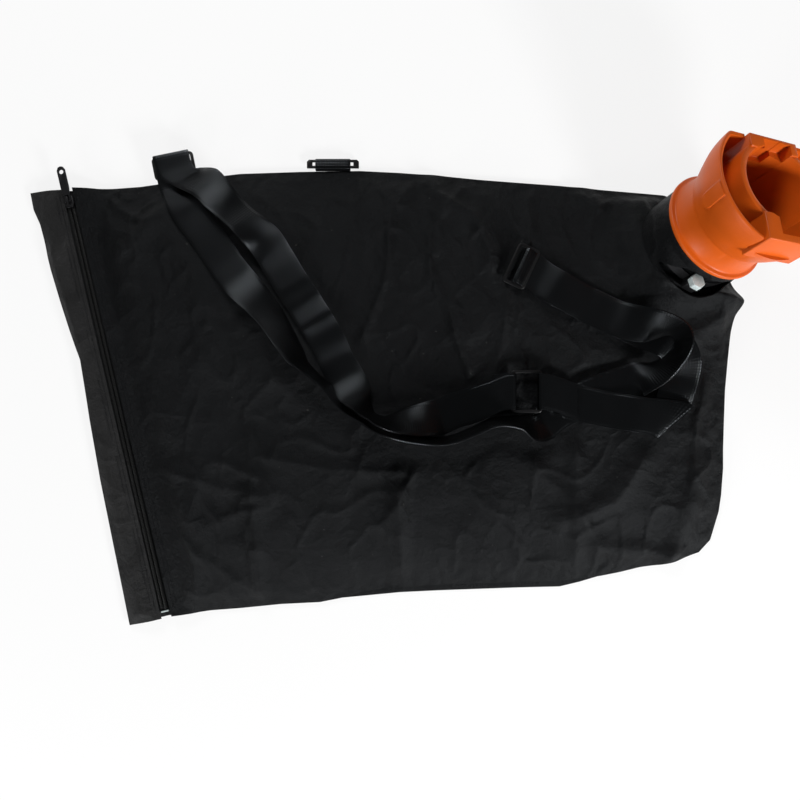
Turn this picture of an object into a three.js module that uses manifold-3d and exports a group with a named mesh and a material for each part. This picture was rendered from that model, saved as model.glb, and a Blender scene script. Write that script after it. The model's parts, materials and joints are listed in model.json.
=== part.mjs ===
// Fabric leaf collection bag of a garden vacuum, empty and lying on its back panel.
// Millimetres. +X runs along the bag towards the collar, +Y across it, +Z up.
// The body is a flat back panel, a lofted front panel and a narrow end strip, closed by a
// long zip. An orange moulded collar stands in a cloth neck at the far corner, and one long
// webbing strap with two slide adjusters and a joining ring lies over the body.

import * as THREE from "three";
import { mergeVertices } from "three/addons/utils/BufferGeometryUtils.js";
import Module from "manifold-3d";

const wasm = await Module();
wasm.setup();

// Cloth body
const GAP = 0.3; // clearance between neighbouring pieces
const BACK_CLOTH = 1.2; // thickness of the back panel
const RIM_BASE = BACK_CLOTH + GAP; // underside of the front panel's rim
const CLOTH = 1.8; // thickness of the lofted cloth
const RIM_WALL = 2.2; // width of the sewn rim
const RIM_TOP = 3.2; // height of the rim above the ground
const LOFT = 22; // height of the body's plateau
const LOFT_REACH = 90; // distance from the edge to the plateau

// Zip
const ZIP_TOP = new THREE.Vector2(-347.3, 220.3);
const ZIP_BOTTOM = new THREE.Vector2(-243.4, -226.8);
const ZIP_SHELF = 10.8; // height of the cloth beside the zip
const ZIP_SHELF_WIDTH = 15;
const ZIP_OPENING = 5.5; // from the zip's middle to the cloth's folded edge
const TAPE_LOW = 8;
const TAPE_HIGH = 9;
const TAPE_WIDTH = 14;
const COIL_INNER = 0.5;
const COIL_OUTER = 3.5;
const COIL_HIGH = 11.2;
const TAPE_INSET = 6; // tape ends short of the sewn rims
const SLIDER_REST = 14.6; // slider's middle, from the zip's top end
const SLIDER_LENGTH = 12;
const SLIDER_WIDTH = 9.6;
const PULL_LENGTH = 37;
const PULL_HEIGHT = 15; // height of the pull's hinge

// Neck and collar, in a frame whose axis leans out over the corner
const NECK_CENTRE = new THREE.Vector3(309, 169, 60);
const NECK_HEADING = THREE.MathUtils.degToRad(37.8);
const NECK_LEAN = THREE.MathUtils.degToRad(28.6);
const TURN_SIDES = 44; // facets of round pieces
const BORE = 38.5; // radius of the bore
const TUBE_WALL = 6.4; // wall of the inner tube
const SPIGOT = 48; // radius of the spigot inside the cloth
const FLANGE_REACH = 7.5; // from the spigot to the flange's edge
const FLANGE = SPIGOT + FLANGE_REACH;
const BELL = 66; // radius of the outer bell's rim
const FLAT_SIDE = 47; // from the axis to the flat side of the bell
const COLLAR_TOP = 81;
const COLLAR_BOTTOM = -36;

// Cloth casing, lining, band and outer cloth, one around the other on the spigot
const CASING_ROOM = 0.4;
const LINING = 1;
const BAND_THICK = 0.9;
const POCKET_ROOM = 0.9;
const CASING_CLOTH = 1.2;
const LINING_INNER = SPIGOT + CASING_ROOM;
const BAND_INNER = LINING_INNER + LINING + CASING_ROOM;
const BAND_OUTER = BAND_INNER + BAND_THICK;
const SLEEVE_INNER = BAND_OUTER + POCKET_ROOM;
const SLEEVE_OUTER = SLEEVE_INNER + CASING_CLOTH;
const SLEEVE_TOP = -2.4;
const SLEEVE_BOTTOM = -46;
const CLAMP_LOW = -30;
const CLAMP_HIGH = -19.5;

// Webbing
const WEB_WIDTH = 36.5;
const WEB_THICK = 1.6;
const BAR_WIDE = 3; // bars of the adjusters and rings
const BAR_THICK = 2.6;
const BAR_TURN = 3.2; // radius of the webbing's turn around a bar
const PLATE_LENGTH = WEB_WIDTH + 0.8 + 2 * 3.2;
const ADJUSTER_DEPTH = 24;

const UP = new THREE.Vector3(0, 0, 1);
const group = new THREE.Group();

// Materials
const paint = (color, roughness, metalness = 0) =>
  new THREE.MeshStandardMaterial({ color, roughness, metalness });
const bodyCloth = paint(0x1c1c1e, 0.85);
const endCloth = paint(0x282727, 0.85);
const webbing = paint(0x1f2021, 0.7);
const tapeCloth = paint(0x151516, 0.8);
const blackPlastic = paint(0x101011, 0.35);
const blackMetal = paint(0x2a2a2c, 0.4, 0.7);
const zinc = paint(0xc2ccca, 0.4, 0.6);
const orange = paint(0xc8511a, 0.4);

// Signed volume of an indexed closed mesh
function signedVolume(position, index) {
  let sum = 0;
  for (let i = 0; i < index.length; i += 3) {
    const a = index[i] * 3;
    const b = index[i + 1] * 3;
    const c = index[i + 2] * 3;
    const [ax, ay, az] = [position[a], position[a + 1], position[a + 2]];
    const [bx, by, bz] = [position[b], position[b + 1], position[b + 2]];
    const [cx, cy, cz] = [position[c], position[c + 1], position[c + 2]];
    sum += ax * (by * cz - bz * cy) + ay * (bz * cx - bx * cz) + az * (bx * cy - by * cx);
  }
  return sum / 6;
}

// A closed three.js geometry as a solid, faces turned outwards
function solid(geometry) {
  const bare = new THREE.BufferGeometry();
  bare.setAttribute("position", geometry.getAttribute("position"));
  if (geometry.index) bare.setIndex(geometry.index);
  const merged = mergeVertices(bare, 1e-4);
  const position = new Float32Array(merged.getAttribute("position").array);
  let index = Array.from(merged.index.array);
  const kept = [];
  for (let i = 0; i < index.length; i += 3) {
    const [a, b, c] = [index[i], index[i + 1], index[i + 2]];
    if (a !== b && b !== c && c !== a) kept.push(a, b, c);
  }
  index = kept;
  if (signedVolume(position, index) < 0) {
    for (let i = 0; i < index.length; i += 3) {
      [index[i + 1], index[i + 2]] = [index[i + 2], index[i + 1]];
    }
  }
  const triVerts = new Uint32Array(index);
  return new wasm.Manifold(new wasm.Mesh({ numProp: 3, vertProperties: position, triVerts }));
}

function geometryOf(body) {
  const mesh = body.getMesh();
  const geometry = new THREE.BufferGeometry();
  const position = new THREE.BufferAttribute(new Float32Array(mesh.vertProperties), 3);
  geometry.setAttribute("position", position);
  geometry.setIndex(Array.from(mesh.triVerts));
  geometry.computeVertexNormals();
  return geometry;
}

function addNode(name, shape, material) {
  const geometry = shape.isBufferGeometry ? shape : geometryOf(shape);
  const mesh = new THREE.Mesh(geometry, material);
  mesh.name = name;
  group.add(mesh);
  return mesh;
}

function join(parts) {
  return parts.reduce((sum, part) => sum.add(part));
}

// A box given by its two corners, as a solid, in the frame of a matrix
function block(low, high, matrix = null) {
  const size = high.map((value, i) => value - low[i]);
  const geometry = new THREE.BoxGeometry(...size);
  geometry.translate(...low.map((value, i) => value + size[i] / 2));
  if (matrix) geometry.applyMatrix4(matrix);
  return solid(geometry);
}

// An upright or turned cylinder along local Z
function rod(radius, low, high, segments, matrix = null) {
  const geometry = new THREE.CylinderGeometry(radius, radius, high - low, segments);
  geometry.rotateX(Math.PI / 2);
  geometry.translate(0, 0, (low + high) / 2);
  if (matrix) geometry.applyMatrix4(matrix);
  return solid(geometry);
}

// A closed profile of radius and height turned about local Z
function turned(profile, segments, matrix = null) {
  const points = profile.map(([r, h]) => new THREE.Vector2(r, h));
  points.push(points[0].clone());
  const geometry = new THREE.LatheGeometry(points, segments);
  geometry.rotateX(Math.PI / 2);
  if (matrix) geometry.applyMatrix4(matrix);
  return solid(geometry);
}

// A flat outline raised to a thickness
function slab(points, low, high, matrix = null, holes = []) {
  const shape = new THREE.Shape(points.map(([x, y]) => new THREE.Vector2(x, y)));
  for (const hole of holes) {
    shape.holes.push(new THREE.Path(hole.map(([x, y]) => new THREE.Vector2(x, y))));
  }
  const geometry = new THREE.ExtrudeGeometry(shape, {
    depth: high - low,
    bevelEnabled: false,
    steps: 1,
  });
  geometry.translate(0, 0, low);
  if (matrix) geometry.applyMatrix4(matrix);
  return solid(geometry);
}

const mix = (a, b, t) => a + (b - a) * t;
const clamp = (value, low, high) => Math.min(high, Math.max(low, value));
function smoothstep(low, high, value) {
  const t = clamp((value - low) / (high - low), 0, 1);
  return t * t * (3 - 2 * t);
}

function distanceToPath(x, y, path, closed = false) {
  let best = Infinity;
  const count = closed ? path.length : path.length - 1;
  for (let i = 0; i < count; i++) {
    const [ax, ay] = path[i];
    const [bx, by] = path[(i + 1) % path.length];
    const dx = bx - ax;
    const dy = by - ay;
    const t = clamp(((x - ax) * dx + (y - ay) * dy) / (dx * dx + dy * dy || 1), 0, 1);
    best = Math.min(best, Math.hypot(x - ax - t * dx, y - ay - t * dy));
  }
  return best;
}

// Neck frame: side and fall span the collar's plane, axis points out of the mouth
const axis = new THREE.Vector3(
  Math.sin(NECK_LEAN) * Math.cos(NECK_HEADING),
  Math.sin(NECK_LEAN) * Math.sin(NECK_HEADING),
  Math.cos(NECK_LEAN)
);
const side = new THREE.Vector3().crossVectors(axis, UP).normalize();
const fall = new THREE.Vector3().crossVectors(axis, side);
const neck = new THREE.Matrix4().makeBasis(side, fall, axis).setPosition(NECK_CENTRE);
const radians = THREE.MathUtils.degToRad;
function onNeck(radius, degrees, height) {
  const a = radians(degrees);
  return new THREE.Vector3(radius * Math.cos(a), radius * Math.sin(a), height).applyMatrix4(neck);
}

// A point just outside the neck, at a given height above the ground
function besideNeck(degrees, radius, z) {
  const a = radians(degrees);
  const height = (z - NECK_CENTRE.z - radius * Math.sin(a) * fall.z) / axis.z;
  const point = onNeck(radius, degrees, height);
  return [point.x, point.y];
}

// Plan outlines of the sewn edges
const topEdge = [
  [-347.3, 220.3],
  [-315, 220.8],
  [-273, 223.9],
  [-221, 231.3],
  [-168, 237.6],
  [-105, 239.7],
  [-42, 240.7],
  [0, 238.6],
  [42, 235.5],
  [84, 231.3],
  [126, 228.1],
  [168, 225],
  [210, 220.8],
  [252, 217.2],
  [277, 215],
  ...[140, 125, 110, 95, 80].map((degrees) => besideNeck(degrees, SLEEVE_OUTER + 4.5, 3)),
];
const shoulder = [
  ...[80, 65, 50, 36].map((degrees) => besideNeck(degrees, SLEEVE_OUTER + 4.5, 3)),
  [348, 121],
  [355.2, 102.4],
];
const rightEdge = [
  [355.2, 102.4],
  [350, 88],
  [347.5, 72],
  [344.5, 42],
  [341.6, 10],
  [340.5, -21],
  [339.6, -52],
  [339.6, -72],
  [337.5, -100],
  [335, -117],
  [326, -147],
  [314, -160],
];
const bottomEdge = [
  [-243.4, -226.8],
  [-210, -221.8],
  [-168, -218.7],
  [-126, -214.5],
  [-84, -212.4],
  [-62, -208],
  [-30, -199.5],
  [0, -196],
  [42, -194],
  [84, -192.6],
  [126, -191],
  [168, -190],
  [189, -187.5],
  [210, -185],
  [231, -180.8],
  [252, -175.6],
  [273, -172.4],
  [294, -167],
  [314, -160],
];
const leftEdge = [
  [-388, 217],
  [-384.8, 199.7],
  [-377.4, 184],
  [-373.2, 168.2],
  [-365.9, 136.7],
  [-356.4, 105.1],
  [-345.9, 73.6],
  [-334.3, 42],
  [-329.5, 10.5],
  [-324.9, -21],
  [-314.3, -84.1],
  [-301.7, -147.2],
  [-289.1, -210.3],
  [-283.9, -236.5],
];
const outline = [
  [-388, 217],
  ...topEdge,
  ...shoulder.slice(1),
  ...rightEdge.slice(1),
  ...bottomEdge.slice(0, -1).reverse(),
  ...leftEdge.slice(1).reverse(),
];

const zipRun = ZIP_BOTTOM.clone().sub(ZIP_TOP);
const ZIP_LENGTH = zipRun.length();
const zipAlong = zipRun.clone().normalize();
const zipAcross = new THREE.Vector2(-zipAlong.y, zipAlong.x);
function zipOffset(x, y) {
  return (x - ZIP_TOP.x) * zipAcross.x + (y - ZIP_TOP.y) * zipAcross.y;
}

// Folds of the front cloth: path, height and half width
const folds = [
  { path: [[263, 117], [300, 111], [353, 102]], rise: 11, spread: 10 },
  { path: [[349, 99], [310, 72], [277, 50]], rise: 7, spread: 15 },
  { path: [[310, -67], [300, -114], [281, -165]], rise: 6, spread: 12 },
  { path: [[206, -153], [248, -157], [284, -161]], rise: 5, spread: 10 },
  { path: [[-151, -98], [-147, -150], [-144, -196]], rise: 5, spread: 11 },
  { path: [[-0.5, -98], [-0.5, -170]], rise: 5, spread: 11 },
  { path: [[180, -56], [186, -103], [191, -150]], rise: 5, spread: 12 },
  { path: [[33, 226], [45, 202], [77, 189], [90, 166], [93, 140]], rise: 5, spread: 10 },
  { path: [[191, 215], [205, 202]], rise: 4, spread: 9 },
  { path: [[-242, 196], [-284, 155]], rise: 5, spread: 10 },
  { path: [[-227, -72], [-207, -145], [-217, -207]], rise: 4, spread: 14 },
  { path: [[248, -62], [217, -103], [165, -124]], rise: 4, spread: 12 },
  { path: [[-72, -83], [-62, -165]], rise: 4, spread: 14 },
  { path: [[-310, -20], [-296, -80], [-285, -150]], rise: 2.5, spread: 9 },
  { path: [[-362, 150], [-345, 105], [-330, 60]], rise: 2.5, spread: 9 },
];

function insideOutline(x, y) {
  let inside = false;
  outline.forEach(([ax, ay], i) => {
    const [bx, by] = outline[(i + 1) % outline.length];
    if (ay > y !== by > y && x < ax + ((y - ay) / (by - ay)) * (bx - ax)) inside = !inside;
  });
  return inside;
}

// Height of the cloth before its folds
function loftHeight(x, y) {
  const inside = distanceToPath(x, y, outline, true);
  const t = clamp(inside / LOFT_REACH, 0, 1);
  let z = mix(RIM_TOP, LOFT, 1 - (1 - t) * (1 - t));
  const dx = x - (NECK_CENTRE.x + axis.x * -45);
  const dy = y - (NECK_CENTRE.y + axis.y * -45);
  const along = dx * Math.cos(NECK_HEADING) + dy * Math.sin(NECK_HEADING);
  const across = -dx * Math.sin(NECK_HEADING) + dy * Math.cos(NECK_HEADING);
  const reach = Math.hypot(along / (SLEEVE_OUTER * axis.z), across / SLEEVE_OUTER);
  const ringHeight = NECK_CENTRE.z - 45 * axis.z - (along / Math.max(reach, 0.6)) * Math.tan(NECK_LEAN);
  const outside = Math.max(0, reach - 1) * SLEEVE_OUTER;
  const lift = Math.max(0, ringHeight + 2 - z) * Math.exp(-Math.pow(outside / 26, 1.4));
  z += lift * smoothstep(0, 14, inside);
  const beside = Math.abs(zipOffset(x, y));
  const shelf = 1 - smoothstep(ZIP_SHELF_WIDTH, 48, beside);
  return mix(z, ZIP_SHELF, shelf);
}

// Height of the finished cloth
function clothHeight(x, y) {
  let z = loftHeight(x, y);
  const free = smoothstep(ZIP_SHELF_WIDTH, 30, Math.abs(zipOffset(x, y)));
  for (const { path, rise, spread } of folds) {
    const d = distanceToPath(x, y, path) / spread;
    if (d < 3) z += rise * Math.exp(-d * d) * free;
  }
  return z;
}

function pathPoint(path, t) {
  const lengths = [0];
  for (let i = 1; i < path.length; i++) {
    const step = Math.hypot(path[i][0] - path[i - 1][0], path[i][1] - path[i - 1][1]);
    lengths.push(lengths[i - 1] + step);
  }
  const target = clamp(t, 0, 1) * lengths[lengths.length - 1];
  let i = 1;
  while (i < path.length - 1 && lengths[i] < target) i++;
  const span = lengths[i] - lengths[i - 1] || 1;
  const s = (target - lengths[i - 1]) / span;
  return [mix(path[i - 1][0], path[i][0], s), mix(path[i - 1][1], path[i][1], s)];
}

// Blend four edges into a plan patch; u runs along +X and v along +Y
function patch({ bottom, top, left, right }) {
  const corners = [bottom(0), bottom(1), top(0), top(1)];
  return (u, v) =>
    [0, 1].map(
      (k) =>
        (1 - v) * bottom(u)[k] +
        v * top(u)[k] +
        (1 - u) * left(v)[k] +
        u * right(v)[k] -
        (1 - u) * (1 - v) * corners[0][k] -
        u * (1 - v) * corners[1][k] -
        (1 - u) * v * corners[2][k] -
        u * v * corners[3][k]
    );
}

// A cloth solid over a plan patch between a top and a bottom height
function sheetSolid(plan, columns, rows, topHeight, bottomHeight) {
  const position = [];
  const index = [];
  for (const height of [topHeight, bottomHeight]) {
    for (let j = 0; j <= rows; j++) {
      for (let i = 0; i <= columns; i++) {
        const [x, y] = plan(i / columns, j / rows);
        position.push(x, y, height(x, y));
      }
    }
  }
  const layer = (columns + 1) * (rows + 1);
  const at = (k, i, j) => k * layer + j * (columns + 1) + i;
  for (let j = 0; j < rows; j++) {
    for (let i = 0; i < columns; i++) {
      const flip = (i + j) % 2 === 0;
      for (const k of [0, 1]) {
        const a = at(k, i, j);
        const b = at(k, i + 1, j);
        const c = at(k, i + 1, j + 1);
        const d = at(k, i, j + 1);
        const faces = flip ? [a, b, c, a, c, d] : [a, b, d, b, c, d];
        if (k === 1) faces.reverse();
        index.push(...faces);
      }
    }
  }
  const rim = [];
  for (let i = 0; i < columns; i++) rim.push([i, 0]);
  for (let j = 0; j < rows; j++) rim.push([columns, j]);
  for (let i = columns; i > 0; i--) rim.push([i, rows]);
  for (let j = rows; j > 0; j--) rim.push([0, j]);
  rim.forEach(([i, j], n) => {
    const [p, q] = rim[(n + 1) % rim.length];
    const a = at(0, i, j);
    const b = at(0, p, q);
    const c = at(1, p, q);
    const d = at(1, i, j);
    index.push(a, d, c, a, c, b);
  });
  const geometry = new THREE.BufferGeometry();
  geometry.setAttribute("position", new THREE.Float32BufferAttribute(position, 3));
  geometry.setIndex(index);
  return solid(geometry);
}

// Zip frame: X across, Y back towards the top end, Z up
const zipFrame = new THREE.Matrix4().makeBasis(
  new THREE.Vector3(zipAcross.x, zipAcross.y, 0),
  new THREE.Vector3(-zipAlong.x, -zipAlong.y, 0),
  UP
);
zipFrame.setPosition(ZIP_TOP.x, ZIP_TOP.y, 0);
const tapeRoom = block(
  [-TAPE_WIDTH - 0.5, -(ZIP_LENGTH - TAPE_INSET + 0.5), -6],
  [TAPE_WIDTH + 0.5, 0.5 - TAPE_INSET, TAPE_HIGH + GAP],
  zipFrame
);

// Outward bulge of the neck cloth over the clamp's pocket
const POCKET_MIDDLE = -54;
const POCKET_REACH = 56;
function pocketBulge(degrees, height) {
  const away = Math.abs(((degrees - POCKET_MIDDLE + 540) % 360) - 180);
  if (away >= POCKET_REACH) return 0;
  const around = Math.pow(Math.cos((away / POCKET_REACH) * (Math.PI / 2)), 2);
  const rise = smoothstep(-42, -28, height) * (1 - smoothstep(-22, -11.5, height));
  return 12 * around * rise;
}

// A closed ring around the neck from a section given for each angle
function aroundNeck(section) {
  const count = section(0).length;
  const position = [];
  const index = [];
  for (let i = 0; i < TURN_SIDES; i++) {
    const degrees = (360 * i) / TURN_SIDES;
    const a = radians(degrees);
    for (const [r, h] of section(degrees)) position.push(r * Math.cos(a), r * Math.sin(a), h);
    const here = i * count;
    const there = ((i + 1) % TURN_SIDES) * count;
    for (let j = 0; j < count; j++) {
      const k = (j + 1) % count;
      index.push(here + j, there + j, there + k, here + j, there + k, here + k);
    }
  }
  const geometry = new THREE.BufferGeometry();
  geometry.setAttribute("position", new THREE.Float32BufferAttribute(position, 3));
  geometry.setIndex(index);
  geometry.applyMatrix4(neck);
  return solid(geometry);
}
const bulgeHeights = [SLEEVE_BOTTOM, -38, -33, -28, -22, -17, -12];
const neckRoom = rod(SLEEVE_OUTER - 2, -90, 60, TURN_SIDES, neck).add(
  aroundNeck((degrees) => [
    [SLEEVE_OUTER - 6, -90],
    [SLEEVE_OUTER + 0.5, -90],
    ...bulgeHeights.map((h) => [SLEEVE_OUTER + 0.5 + pocketBulge(degrees, h), h]),
    [SLEEVE_OUTER + 0.5, 60],
    [SLEEVE_OUTER - 6, 60],
  ])
);

// Back panel, flat on the ground; it shows a little past the front panel's lower edge
const backOutline = outline.map(([x, y]) => {
  const low = smoothstep(-70, -20, x) * (1 - smoothstep(170, 215, x));
  return y < -150 ? [x, y - 6.5 * low] : [x, y];
});
addNode("back_panel", slab(backOutline, 0, BACK_CLOTH), bodyCloth);

// Front panel: a lofted shell, open along the zip and around the neck
const zipEdge = (offset) => (v) => {
  const s = 1 - v;
  return [
    ZIP_TOP.x + zipAlong.x * ZIP_LENGTH * s + zipAcross.x * offset,
    ZIP_TOP.y + zipAlong.y * ZIP_LENGTH * s + zipAcross.y * offset,
  ];
};
const SHOULDER_ROW = 0.74;
const frontRight = (v) =>
  v > SHOULDER_ROW
    ? pathPoint([...shoulder].reverse(), (v - SHOULDER_ROW) / (1 - SHOULDER_ROW))
    : pathPoint([...rightEdge].reverse(), v / SHOULDER_ROW);
const trimmed = (path, start) => [start, ...path.slice(1)];
const frontPlan = patch({
  left: zipEdge(ZIP_OPENING),
  right: frontRight,
  top: (u) => pathPoint(trimmed(topEdge, zipEdge(ZIP_OPENING)(1)), u),
  bottom: (u) => pathPoint(trimmed(bottomEdge, zipEdge(ZIP_OPENING)(0)), u),
});
// Ceiling of the hollow: the lowest cloth near by, so that its coarser facets stay inside
const cavityTop = (x, y) => {
  let lowest = loftHeight(x, y);
  for (let i = 0; i < 8; i++) {
    const a = (i * Math.PI) / 4;
    lowest = Math.min(lowest, loftHeight(x + 12 * Math.cos(a), y + 12 * Math.sin(a)));
  }
  return lowest - CLOTH;
};
const inset = (plan, leftShift, rightShift) => (u, v) => {
  const [x, y] = plan(u, v);
  return [x + mix(leftShift, rightShift, u), y + mix(RIM_WALL, -RIM_WALL, v)];
};
const frontOuter = sheetSolid(frontPlan, 48, 31, clothHeight, () => RIM_BASE);
const frontInner = sheetSolid(inset(frontPlan, -20, -RIM_WALL), 24, 16, cavityTop, () => -6);
const frontCloth = frontOuter.subtract(frontInner).subtract(tapeRoom);
addNode("front_panel", frontCloth.subtract(neckRoom), bodyCloth);

// End strip between the zip and the bag's left edge
const stripPlan = patch({
  left: (v) => pathPoint([...leftEdge].reverse(), v),
  right: zipEdge(-ZIP_OPENING),
  top: (u) => [mix(-388, zipEdge(-ZIP_OPENING)(1)[0], u), mix(217, zipEdge(-ZIP_OPENING)(1)[1], u)],
  bottom: (u) => [
    mix(-283.9, zipEdge(-ZIP_OPENING)(0)[0], u),
    mix(-236.5, zipEdge(-ZIP_OPENING)(0)[1], u),
  ],
});
const stripOuter = sheetSolid(stripPlan, 5, 26, clothHeight, () => RIM_BASE);
const stripInner = sheetSolid(inset(stripPlan, RIM_WALL, 20), 4, 16, cavityTop, () => -6);
addNode("end_strip", stripOuter.subtract(stripInner).subtract(tapeRoom), endCloth);

const coilStart = TAPE_INSET + 2.1;
function zipTape(sign) {
  const across = (a, b) => (sign > 0 ? [a, b] : [-b, -a]);
  const [tapeLow, tapeHigh] = across(COIL_INNER, TAPE_WIDTH);
  const tape = block(
    [tapeLow, -(ZIP_LENGTH - TAPE_INSET), TAPE_LOW],
    [tapeHigh, -TAPE_INSET, TAPE_HIGH],
    zipFrame
  );
  const [coilLow, coilHigh] = across(COIL_INNER, COIL_OUTER);
  const section = [
    [coilLow, TAPE_HIGH - 0.5],
    [coilHigh, TAPE_HIGH - 0.5],
    [coilHigh, COIL_HIGH - 0.7],
    [coilHigh - 0.7, COIL_HIGH],
    [coilLow + 0.7, COIL_HIGH],
    [coilLow, COIL_HIGH - 0.7],
  ];
  const lay = new THREE.Matrix4().makeRotationX(Math.PI / 2);
  lay.setPosition(0, -coilStart, 0);
  const coil = slab(section, 0, ZIP_LENGTH - 2 * coilStart, zipFrame.clone().multiply(lay));
  return tape.add(coil);
}
addNode("zip_tape_body", zipTape(1), tapeCloth);
addNode("zip_tape_end", zipTape(-1), tapeCloth);

// Metal stops at both ends of the coil
function zipStop(from) {
  return block(
    [-COIL_OUTER - 0.3, -(from + 1.5), TAPE_HIGH + GAP],
    [COIL_OUTER + 0.3, -from, COIL_HIGH + 0.4],
    zipFrame
  );
}
addNode("zip_stop_top", zipStop(TAPE_INSET + 0.2), blackMetal);
addNode("zip_stop_bottom", zipStop(ZIP_LENGTH - TAPE_INSET - 1.7), zinc);

// Slider: two plates joined by a thin post between the coil rows, with a bridge on top
const sliderFrame = zipFrame.clone().multiply(
  new THREE.Matrix4().makeTranslation(0, -SLIDER_REST, 0)
);
const sliderHalf = SLIDER_WIDTH / 2;
const sliderOutline = [
  [-3.2, -SLIDER_LENGTH / 2],
  [3.2, -SLIDER_LENGTH / 2],
  [sliderHalf, -2],
  [sliderHalf, SLIDER_LENGTH / 2 - 1.5],
  [sliderHalf - 1.5, SLIDER_LENGTH / 2],
  [1.5 - sliderHalf, SLIDER_LENGTH / 2],
  [-sliderHalf, SLIDER_LENGTH / 2 - 1.5],
  [-sliderHalf, -2],
];
const plateLow = COIL_HIGH + 0.4;
const plateHigh = plateLow + 1.6;
const slider = join([
  slab(sliderOutline, plateLow, plateHigh, sliderFrame),
  slab(sliderOutline, TAPE_LOW - 1.9, TAPE_LOW - 0.4, sliderFrame),
  block([-0.2, 0.5, TAPE_LOW - 0.8], [0.2, 5, plateLow + 0.4], sliderFrame),
  block([-sliderHalf, -1.8, TAPE_HIGH + 0.4], [0.8 - sliderHalf, 4, plateLow + 0.5], sliderFrame),
  block([sliderHalf - 0.8, -1.8, TAPE_HIGH + 0.4], [sliderHalf, 4, plateLow + 0.5], sliderFrame),
  block([-1, 2.8, plateHigh - 0.3], [1, 4.4, 17.2], sliderFrame),
  block([-1, -4.4, plateHigh - 0.3], [1, -2.8, 17.2], sliderFrame),
  block([-1, -4.4, 16.6], [1, 4.4, 17.8], sliderFrame),
]);
addNode("zip_slider", slider, blackMetal);

// Pull tab, hinged on the bridge and lying out over the bag's top edge
const pullOutline = [
  [-3.4, -0.7],
  [3.4, -0.7],
  [3.6, 8],
  [4.4, 14],
  [4.4, PULL_LENGTH - 4],
  [2.6, PULL_LENGTH - 0.8],
  [0, PULL_LENGTH],
  [-2.6, PULL_LENGTH - 0.8],
  [-4.4, PULL_LENGTH - 4],
  [-4.4, 14],
  [-3.6, 8],
];
const pullWindow = [
  [-1.7, 0.8],
  [-1.7, 6.2],
  [1.7, 6.2],
  [1.7, 0.8],
];
const pullEye = [];
for (let i = 0; i < 12; i++) {
  const a = (-i / 12) * 2 * Math.PI;
  pullEye.push([2.2 * Math.cos(a), PULL_LENGTH - 6 + 2.2 * Math.sin(a)]);
}
const pull = slab(pullOutline, PULL_HEIGHT - 0.6, PULL_HEIGHT + 0.6, sliderFrame, [
  pullWindow,
  pullEye,
]);
addNode("zip_pull", pull, blackMetal);

// Neck sleeve: a hemmed cloth casing with a pocket mouth over the clamp
const sleeveSection = (degrees) => {
  const bulge = (height) => pocketBulge(degrees, height);
  const outer = bulgeHeights.map((h) => [SLEEVE_OUTER + bulge(h), h]);
  const inner = [-6.5, -13.5, -17, -22, -28, -33, -38, SLEEVE_BOTTOM].map((h) => [
    SLEEVE_INNER + bulge(h),
    h,
  ]);
  return [
    ...outer,
    [SLEEVE_OUTER - 0.9, SLEEVE_TOP - 0.4],
    [LINING_INNER + 0.6, SLEEVE_TOP],
    [LINING_INNER, SLEEVE_TOP - 0.7],
    [LINING_INNER, -43],
    [LINING_INNER + LINING, -43],
    [LINING_INNER + LINING, -6.5],
    ...inner,
  ];
};
// Mouth of the pocket, as a wedge swept around the neck
const mouth = [
  [-97, -33, -34.5],
  [-88, -21, -35],
  [-76, -13, -33],
  [-64, -10.9, -31],
  [-52, -10.9, -29],
  [-40, -10.9, -26.5],
  [-28, -11.2, -23],
  [-18, -12.2, -19],
  [-10, -14, -15.5],
];
const mouthPosition = [];
const mouthIndex = [];
for (const [degrees, high, low] of mouth) {
  const [near, far] = [BAND_OUTER + 0.2, SLEEVE_OUTER + 30];
  for (const [r, h] of [[near, low], [far, low], [far, high], [near, high]]) {
    const a = radians(degrees);
    mouthPosition.push(r * Math.cos(a), r * Math.sin(a), h);
  }
}
for (let i = 0; i < mouth.length - 1; i++) {
  for (let j = 0; j < 4; j++) {
    const [a, b] = [i * 4 + j, i * 4 + ((j + 1) % 4)];
    mouthIndex.push(a, b, b + 4, a, b + 4, a + 4);
  }
}
const last = (mouth.length - 1) * 4;
mouthIndex.push(0, 2, 1, 0, 3, 2, last, last + 1, last + 2, last, last + 2, last + 3);
const mouthGeometry = new THREE.BufferGeometry();
mouthGeometry.setAttribute("position", new THREE.Float32BufferAttribute(mouthPosition, 3));
mouthGeometry.setIndex(mouthIndex);
mouthGeometry.applyMatrix4(neck);

const ground = block([-600, -600, -200], [600, 600, RIM_BASE + 0.1]);
const sleeve = aroundNeck(sleeveSection).subtract(solid(mouthGeometry)).subtract(ground);
addNode("neck_sleeve", sleeve, bodyCloth);

// Band clamp inside the casing, its housing in the pocket and its hex screw
const CLAMP_ANGLE = -58.9;
const clampFrame = neck.clone().multiply(new THREE.Matrix4().makeRotationZ(radians(CLAMP_ANGLE)));
const band = turned(
  [
    [BAND_INNER, CLAMP_LOW],
    [BAND_OUTER, CLAMP_LOW],
    [BAND_OUTER, CLAMP_HIGH],
    [BAND_INNER, CLAMP_HIGH],
  ],
  TURN_SIDES,
  neck
);
addNode("clamp_band", band, blackMetal);
const screwReach = new THREE.Matrix4().makeTranslation(SLEEVE_OUTER + 4.1, 0, 0);
const screwFrame = clampFrame.clone().multiply(screwReach);
const housing = block(
  [BAND_OUTER + 0.5, -6.5, CLAMP_LOW],
  [SLEEVE_OUTER + 8, 6.5, CLAMP_HIGH - 0.1],
  clampFrame
);
addNode("clamp_housing", housing.subtract(rod(2.9, -28, -10, 16, screwFrame)), blackPlastic);
const screw = rod(7.5, -19.2, -14, 6, screwFrame).add(rod(2.5, -27.4, -19, 16, screwFrame));
addNode("clamp_screw", screw, zinc);

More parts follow.
